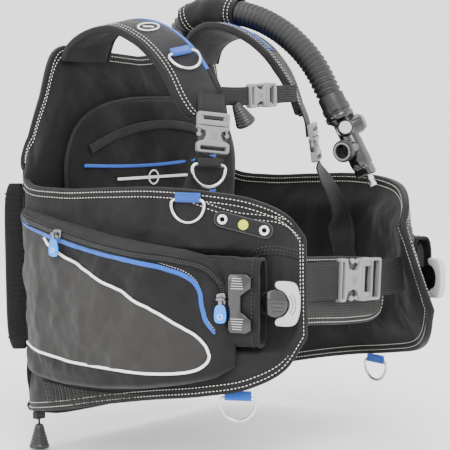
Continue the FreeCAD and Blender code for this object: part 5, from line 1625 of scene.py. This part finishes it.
class VEST_OT_inflator(VestOperator, bpy.types.Operator):
    """Build the inflator with its mouthpiece, buttons and inlet nipple"""
    bl_idname = "vest.inflator"
    bl_label = "Inflator"
    # outward direction, drop below the top, reach of the seat, radius and material
    BUTTONS = {"inflate": (INFLATE_OUT, 24, 21, 9, "grip_plastic"),
               "deflate": (DEFLATE_OUT, 23.5, 25, 11, "pale_nylon")}

    def build(self):
        place = inflator_place()
        forward = Matrix.Rotation(math.pi / 2, 4, "X")       # local Z onto local -Y
        body = Piece("inflator_housing")
        body.add(turned([(13, -84), (15.4, -82), (16.2, -74), (15.4, -60), (15.6, -44),
                         (14, -34), (14, -14), (17, -10.5), (20.2, -8.6), (21, -7.6), (21, -1),
                         (20, 0)]),
                 "gloss_plastic", place)
        centre = np.array([(0.0, 0.0, z) for z in (-97, -96, -94, -86, -82, -80)])
        across = np.broadcast_to((1.0, 0, 0), (6, 3)), np.broadcast_to((0, 1.0, 0), (6, 3))
        body.add(skin_mesh(rings_round(centre, *across, np.array([11, 12.4, 13, 13, 12.6, 11]),
                                       np.array([10, 11.4, 12, 12, 11.6, 10]), 4.5, 28)),
                 "gloss_plastic", place)
        body.add(turned([(11.6, -4), (12.4, 10), (11.6, 20), (12.2, 26), (13, 30)]),
                 "gloss_plastic", place @ Matrix.Translation((0, 0, -54)) @ forward)
        for out, drop, reach, radius, _ in self.BUTTONS.values():
            seat = inflator_place(out) @ Matrix.Translation((0, 0, -drop)) @ forward
            wall = radius + 0.7
            body.add(turned([(radius + 4, 0), (radius + 3, reach - 3), (radius + 2.6, reach - 1),
                             (radius + 1.8, reach), (wall, reach - 0.4), (wall, reach - 7.6),
                             (1, reach - 7.8)]),
                     "gloss_plastic", seat)
        body.finish("root", "black_plastic", ["inflator_body"], sharp=45)
        self.mouth(place @ Matrix.Translation((0, 0, -54)) @ forward)
        for word, facts in self.BUTTONS.items():
            self.button(word, *facts)
        low = place @ Matrix.Translation((0, 4, -96))
        Piece("inlet_nipple_turned").add(
            turned([(4.5, 0), (4.5, -4), (5.5, -4.4), (5.5, -8.4), (4.4, -9.2), (4.4, -12.4),
                    (5.4, -13.2), (5.4, -16.8), (4.6, -18), (2.6, -18)]),
            "stainless_steel", low).finish("root", "steel", ["inlet_nipple"], sharp=35)

    def mouth(self, place):
        """A soft lip round the bore, with a paler rim inside it."""
        lip = Piece("mouthpiece_lip")
        profile = [(9, 29.8), (14.6, 29.8), (15.6, 31.5), (15.6, 38), (14.4, 40), (11.2, 40),
                   (9.6, 38.4), (9, 36)]
        lip.add(self.ring(profile), "hose_rubber", place)
        lip.add(self.ring([(10.4, 39.8), (12.8, 39.8), (12.8, 40.9), (10.4, 40.9)]),
                "pale_nylon", place)
        lip.finish("root", "rubber", ["mouthpiece"], sharp=45)

    def ring(self, profile, count=44):
        """A round part with an open bore, from a closed (radius, height) section."""
        angle = np.linspace(0, 2 * math.pi, count, endpoint=False)
        rings = [[(r * math.cos(a), r * math.sin(a), h) for r, h in profile] for a in angle]
        return skin_mesh(np.array(rings), closed=True)

    def button(self, word, out, drop, reach, radius, material):
        place = inflator_place(out) @ Matrix.Translation((0, 0, -drop)) @ Matrix.Rotation(
            math.pi / 2, 4, "X")
        cap = Piece(f"{word}_button_cap")
        cap.add(turned([(radius - 0.4, reach - 2.6), (radius, reach - 2), (radius, reach + 3.2),
                        (radius - 1.2, reach + 4.5), (radius * 0.5, reach + 4.1),
                        (1, reach + 3.9)]), material, place)
        for row in (-1, 0, 1) if word == "deflate" else ():
            bar = plate([oblong(radius * (1.5 - 0.3 * abs(row)), 1.8, 0.8, 0, row * 5)], 1.4, 0.4)
            cap.add(bar, "dark_nylon", place @ Matrix.Translation((0, 0, reach + 4.2))
                    @ Matrix.Rotation(-math.pi / 2, 4, "X"))
        cap.finish(f"{word}_press_body", "grey_plastic", [f"{word}_button"], sharp=40)


class VEST_OT_valves(VestOperator, bpy.types.Operator):
    """Build the dump valves, their knobs and the hanging pull cord"""
    bl_idname = "vest.valves"
    bl_label = "Dump Valves"
    CORD = (-215, -122)

    def build(self):
        valves = Piece("dump_valve_caps")
        spokes = []
        for height in (-205, 190):
            place = (Matrix.Translation((-128, -105.9, height))
                     @ Matrix.Rotation(-math.pi / 2, 4, "X"))
            valves.add(turned([(25, 0), (26, 1.2), (26, 6), (24, 7), (23.4, 11), (21, 13.4),
                               (17, 14.2), (16, 13.2), (14.6, 13.2), (13.6, 15), (8, 16),
                               (1, 16)]), "dark_nylon", place)
            for turn in np.linspace(0, 2 * math.pi, 24, endpoint=False):
                path = [place @ Vector((r * math.cos(turn), r * math.sin(turn), 14.0))
                        for r in (17.6, 21.4)]
                spokes.append((np.array(path), (0, 1, 0)))
        tab = Matrix.Translation((*self.CORD, -255)) @ Matrix.Rotation(math.pi / 2, 4, "X")
        hole = arc(2.2, 6.1, 0, 20)
        valves.add(plate([oblong(16, 12, 3), hole], 10, 0.8), "belt_webbing", tab)
        valves.finish("root", "black_plastic", ["dump_valves"], sharp=40)
        grow("dump_valve_vents", TREES["teeth"], spokes,
             {"Pitch": 0.0019, "Size": (0.0019, 0.0016, 0.0012),
              "Material": MATERIALS["gloss_plastic"]})
        lower = self.knob("lower", Matrix.Translation((*self.CORD, -268)), True)
        self.knob("upper", pose((-70, -357, 178), (-0.55, 0.1, 0.8), (-0.6, -0.8, 0)), False)
        self.cord(lower)

    def knob(self, word, place, bored):
        """A ribbed cone; the lower one is bored for its cord."""
        knob = Piece(f"{word}_dump_knob_body")
        outside = [(13.4, -33), (14, -32), (14, -30)]
        outside += [(6 + 8 * share - (1.0 if row % 2 else 0), -30 * share)
                    for row, share in enumerate(np.linspace(0.95, 0.08, 14))]
        outside += [(5.4, -0.4), (4.6, 0)]
        if bored:
            outside += [(1.7, 0), (1.7, -15)]
        knob.add(turned(outside, 36), "dark_nylon", place)
        return knob.finish(f"{word}_dump_pull_body", "black_plastic", [f"{word}_dump_knob"],
                           sharp=40)

    def cord(self, knob):
        """The braided pull cord, from the lobe down through its guide into the knob."""
        curve = bpy.data.curves.new("lower_pull_cord", "CURVE")
        curve.dimensions, curve.bevel_depth, curve.bevel_resolution = "3D", 1.5 * MM, 3
        curve.use_fill_caps, curve.resolution_u = True, 6
        spline = curve.splines.new("NURBS")
        heights = (-236, -244, -252, -262, -272, -283)
        spline.points.add(len(heights) - 1)
        for point, height in zip(spline.points, heights):
            point.co = (self.CORD[0] * MM, self.CORD[1] * MM, height * MM, 1)
        spline.order_u = 3
        spline.use_endpoint_u = True
        curve.materials.append(MATERIALS["braided_cord"])
        made = bpy.data.objects.new("lower_pull_cord", curve)
        bpy.context.scene.collection.objects.link(made)
        settle(made, "lower_dump_pull_body", ["lower_dump_cord"])


class VEST_OT_knife_plate(VestOperator, bpy.types.Operator):
    """Build the knife mounting plate with its grommets and marker"""
    bl_idname = "vest.knife_plate"
    bl_label = "Knife Plate"

    def build(self):
        place = wall_place(5.85, 28, RIGHT, 4.0, 14)
        x_hole = 76 * 0.36
        holes = [arc(4, 6.1, 0, 24, sign * x_hole) for sign in (-1, 1)]
        Piece("knife_plate_body").add(plate([oblong(76, 20, 9.0)] + holes, 3, 0.6),
                                      "belt_webbing", place).add(
            skin_mesh(tube_rings(np.array([(x, -1.2, z) for x, z in oblong(75, 19, 8.8)]), 0.7, 8,
                                 closed=True), closed=True), "dark_thread", place).finish(
            "root", "black_plastic", ["knife_plate"], sharp=40)
        studs = Piece("knife_plate_studs")
        for sign in (-1, 1):
            ring = arc(6.4, 0, 6.1, 30, sign * x_hole)
            hole = arc(3.2, 6.1, 0, 24, sign * x_hole)
            studs.add(plate([ring, hole], 1.4, 0.4), "mark_paint",
                      place @ Matrix.Translation((0, -2.1, 0)))
        marker = arc(6.5, 0, 6.1, 30)
        studs.add(plate([marker], 1.4, 0.4), "marker_yellow",
                  place @ Matrix.Translation((0, -2.1, 0)))
        studs.finish("root", "steel", ["knife_grommets"], sharp=40)


class VEST_OT_tank_side(VestOperator, bpy.types.Operator):
    """Build the backplate, the carry handle, the tank band and finish the cam buckle"""
    bl_idname = "vest.tank_side"
    bl_label = "Tank Side"

    def build(self):
        angle = np.linspace(0, 2 * math.pi, 96, endpoint=False)
        out = np.stack([np.cos(angle), np.sin(angle), 0 * angle], 1)
        up = np.broadcast_to((0.0, 0.0, 1.0), (96, 3))
        rings = rings_round(out * 93.5, up, out, 25, 1.5, 7.0, 20)
        Piece("tank_band_webbing").add(skin_mesh(rings, closed=True), "belt_webbing").finish(
            "root", "webbing", ["tank_band"], sharp=50)
        rows = [(np.concatenate([out, out[:1]]) * 95.2 + (0, 0, z), np.concatenate([out, out[:1]]))
                for z in (-21, 21)]
        sew("tank_band_stitches", rows, material="dark_thread")
        plate_place = Matrix.Translation((0, -101.2, 0))
        openings = [oblong(76, 70, 14, 0, -95)[::-1], oblong(120, 9, 3, 0, 38)[::-1],
                    oblong(120, 9, 3, 0, -38)[::-1], oblong(60, 20, 8, 0, 125)[::-1]]
        back = Piece("backplate_body").add(plate([oblong(190, 310, 26, 0, 5)] + openings, 11, 2.5),
                                           "dark_nylon", plate_place)
        back.finish("root", "black_plastic", ["backplate"], sharp=40)
        Piece("carry_handle_webbing").add(
            plate([oblong(120, 34, 10, 0, 205), oblong(96, 22, 7, 0, 203)[::-1]], 10, 2.0),
            "belt_webbing", Matrix.Translation((0, -101, 0))).finish(
            "root", "webbing", ["carry_handle"], sharp=40)
        for name in ("cam_buckle_body", "cam_buckle_lever"):
            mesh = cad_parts[name].data
            mesh.materials.clear()
            mesh.materials.append(MATERIALS["dark_nylon"])


class VEST_OT_stage(VestOperator, bpy.types.Operator):
    """Set the floor, the soft lights, the pale surroundings and the camera"""
    bl_idname = "vest.stage"
    bl_label = "Stage"
    TARGET = (0, -0.280, 0.005)
    TURN, RISE, DISTANCE, LENS = -50.0, 5.0, 2.2, 123.9     # degrees, degrees, m, mm
    FLOOR, FLOOR_GAP, SKY = 4, 0.004, 2.0

    def build(self):
        scene = bpy.context.scene
        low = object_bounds()[0][2]
        floor_mesh = bpy.data.meshes.new("floor")
        corners = [(x * self.FLOOR, y * self.FLOOR, low - self.FLOOR_GAP)
                   for x, y in ((-1, -1), (1, -1), (1, 1), (-1, 1))]
        floor_mesh.from_pydata(corners, [], [(0, 1, 2, 3)])
        shader("pale_floor", (0.95, 0.95, 0.95), 0.9)
        floor_mesh.materials.append(MATERIALS["pale_floor"])
        floor = bpy.data.objects.new("floor", floor_mesh)
        scene.collection.objects.link(floor)
        lamps = [self.lamp("key", (-1.5, -1.9, 1.9), 62, 1.4),
                 self.lamp("fill", (1.4, -2.2, 0.7), 16, 2.0),
                 self.lamp("side", (-2.4, 0.4, 0.6), 22, 1.6),
                 self.lamp("top", (0.2, 0.2, 2.4), 30, 1.8)]
        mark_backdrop(floor, *lamps)
        world = bpy.data.worlds.new("pale surroundings")
        world.use_nodes = True
        world.node_tree.nodes["Background"].inputs[0].default_value = (1, 1, 1, 1)
        world.node_tree.nodes["Background"].inputs[1].default_value = self.SKY
        scene.world = world
        self.camera(scene)

    def lamp(self, name, at, power, size):
        light = bpy.data.lights.new(name, "AREA")
        light.energy, light.size = power, size
        made = bpy.data.objects.new(name, light)
        made.location = at
        made.rotation_euler = (Vector(at) - Vector(self.TARGET)).to_track_quat("Z", "Y").to_euler()
        bpy.context.scene.collection.objects.link(made)
        return made

    def camera(self, scene):
        turn, rise = math.radians(self.TURN), math.radians(self.RISE)
        back = Vector((math.sin(turn) * math.cos(rise), -math.cos(turn) * math.cos(rise),
                       math.sin(rise)))
        lens = bpy.data.cameras.new("camera")
        lens.lens, lens.sensor_width = self.LENS, 36
        made = bpy.data.objects.new("camera", lens)
        made.location = Vector(self.TARGET) + back * self.DISTANCE
        made.rotation_euler = back.to_track_quat("Z", "Y").to_euler()
        scene.collection.objects.link(made)
        scene.camera = made


class VEST_OT_finishes(VestOperator, bpy.types.Operator):
    """Make the materials and the node trees that the other builders use"""
    bl_idname = "vest.finishes"
    bl_label = "Finishes"

    def build(self):
        make_materials()
        make_trees()


OPERATORS = (VEST_OT_finishes, VEST_OT_walls, VEST_OT_side_wings, VEST_OT_lobe_seams, VEST_OT_pockets,
             VEST_OT_straps, VEST_OT_back_pad, VEST_OT_belts, VEST_OT_buckles, VEST_OT_rings,
             VEST_OT_weight_pockets, VEST_OT_sliders, VEST_OT_hose, VEST_OT_inflator,
             VEST_OT_valves, VEST_OT_knife_plate, VEST_OT_tank_side, VEST_OT_stage)


class VEST_PT_panel(bpy.types.Panel):
    """Lists the builders in the sidebar"""
    bl_label = "Buoyancy Vest"
    bl_idname = "VEST_PT_panel"
    bl_space_type = "VIEW_3D"
    bl_region_type = "UI"
    bl_category = "Vest"

    def draw(self, context):
        for group in (context.scene.vest_colours, context.scene.vest_sizes):
            for key in group.__annotations__:
                self.layout.prop(group, key)
        for operator in OPERATORS:
            self.layout.operator(operator.bl_idname)


CLASSES = (VestColours, VestSizes, *OPERATORS, VEST_PT_panel)


def register():
    for cls in CLASSES:
        bpy.utils.register_class(cls)
    bpy.types.Scene.vest_colours = PointerProperty(type=VestColours)
    bpy.types.Scene.vest_sizes = PointerProperty(type=VestSizes)


def unregister():
    del bpy.types.Scene.vest_sizes
    del bpy.types.Scene.vest_colours
    for cls in reversed(CLASSES):
        bpy.utils.unregister_class(cls)


def main():
    register()
    for operator in OPERATORS:
        getattr(bpy.ops.vest, operator.bl_idname.split(".")[1])()


if __name__ == "__main__":
    main()
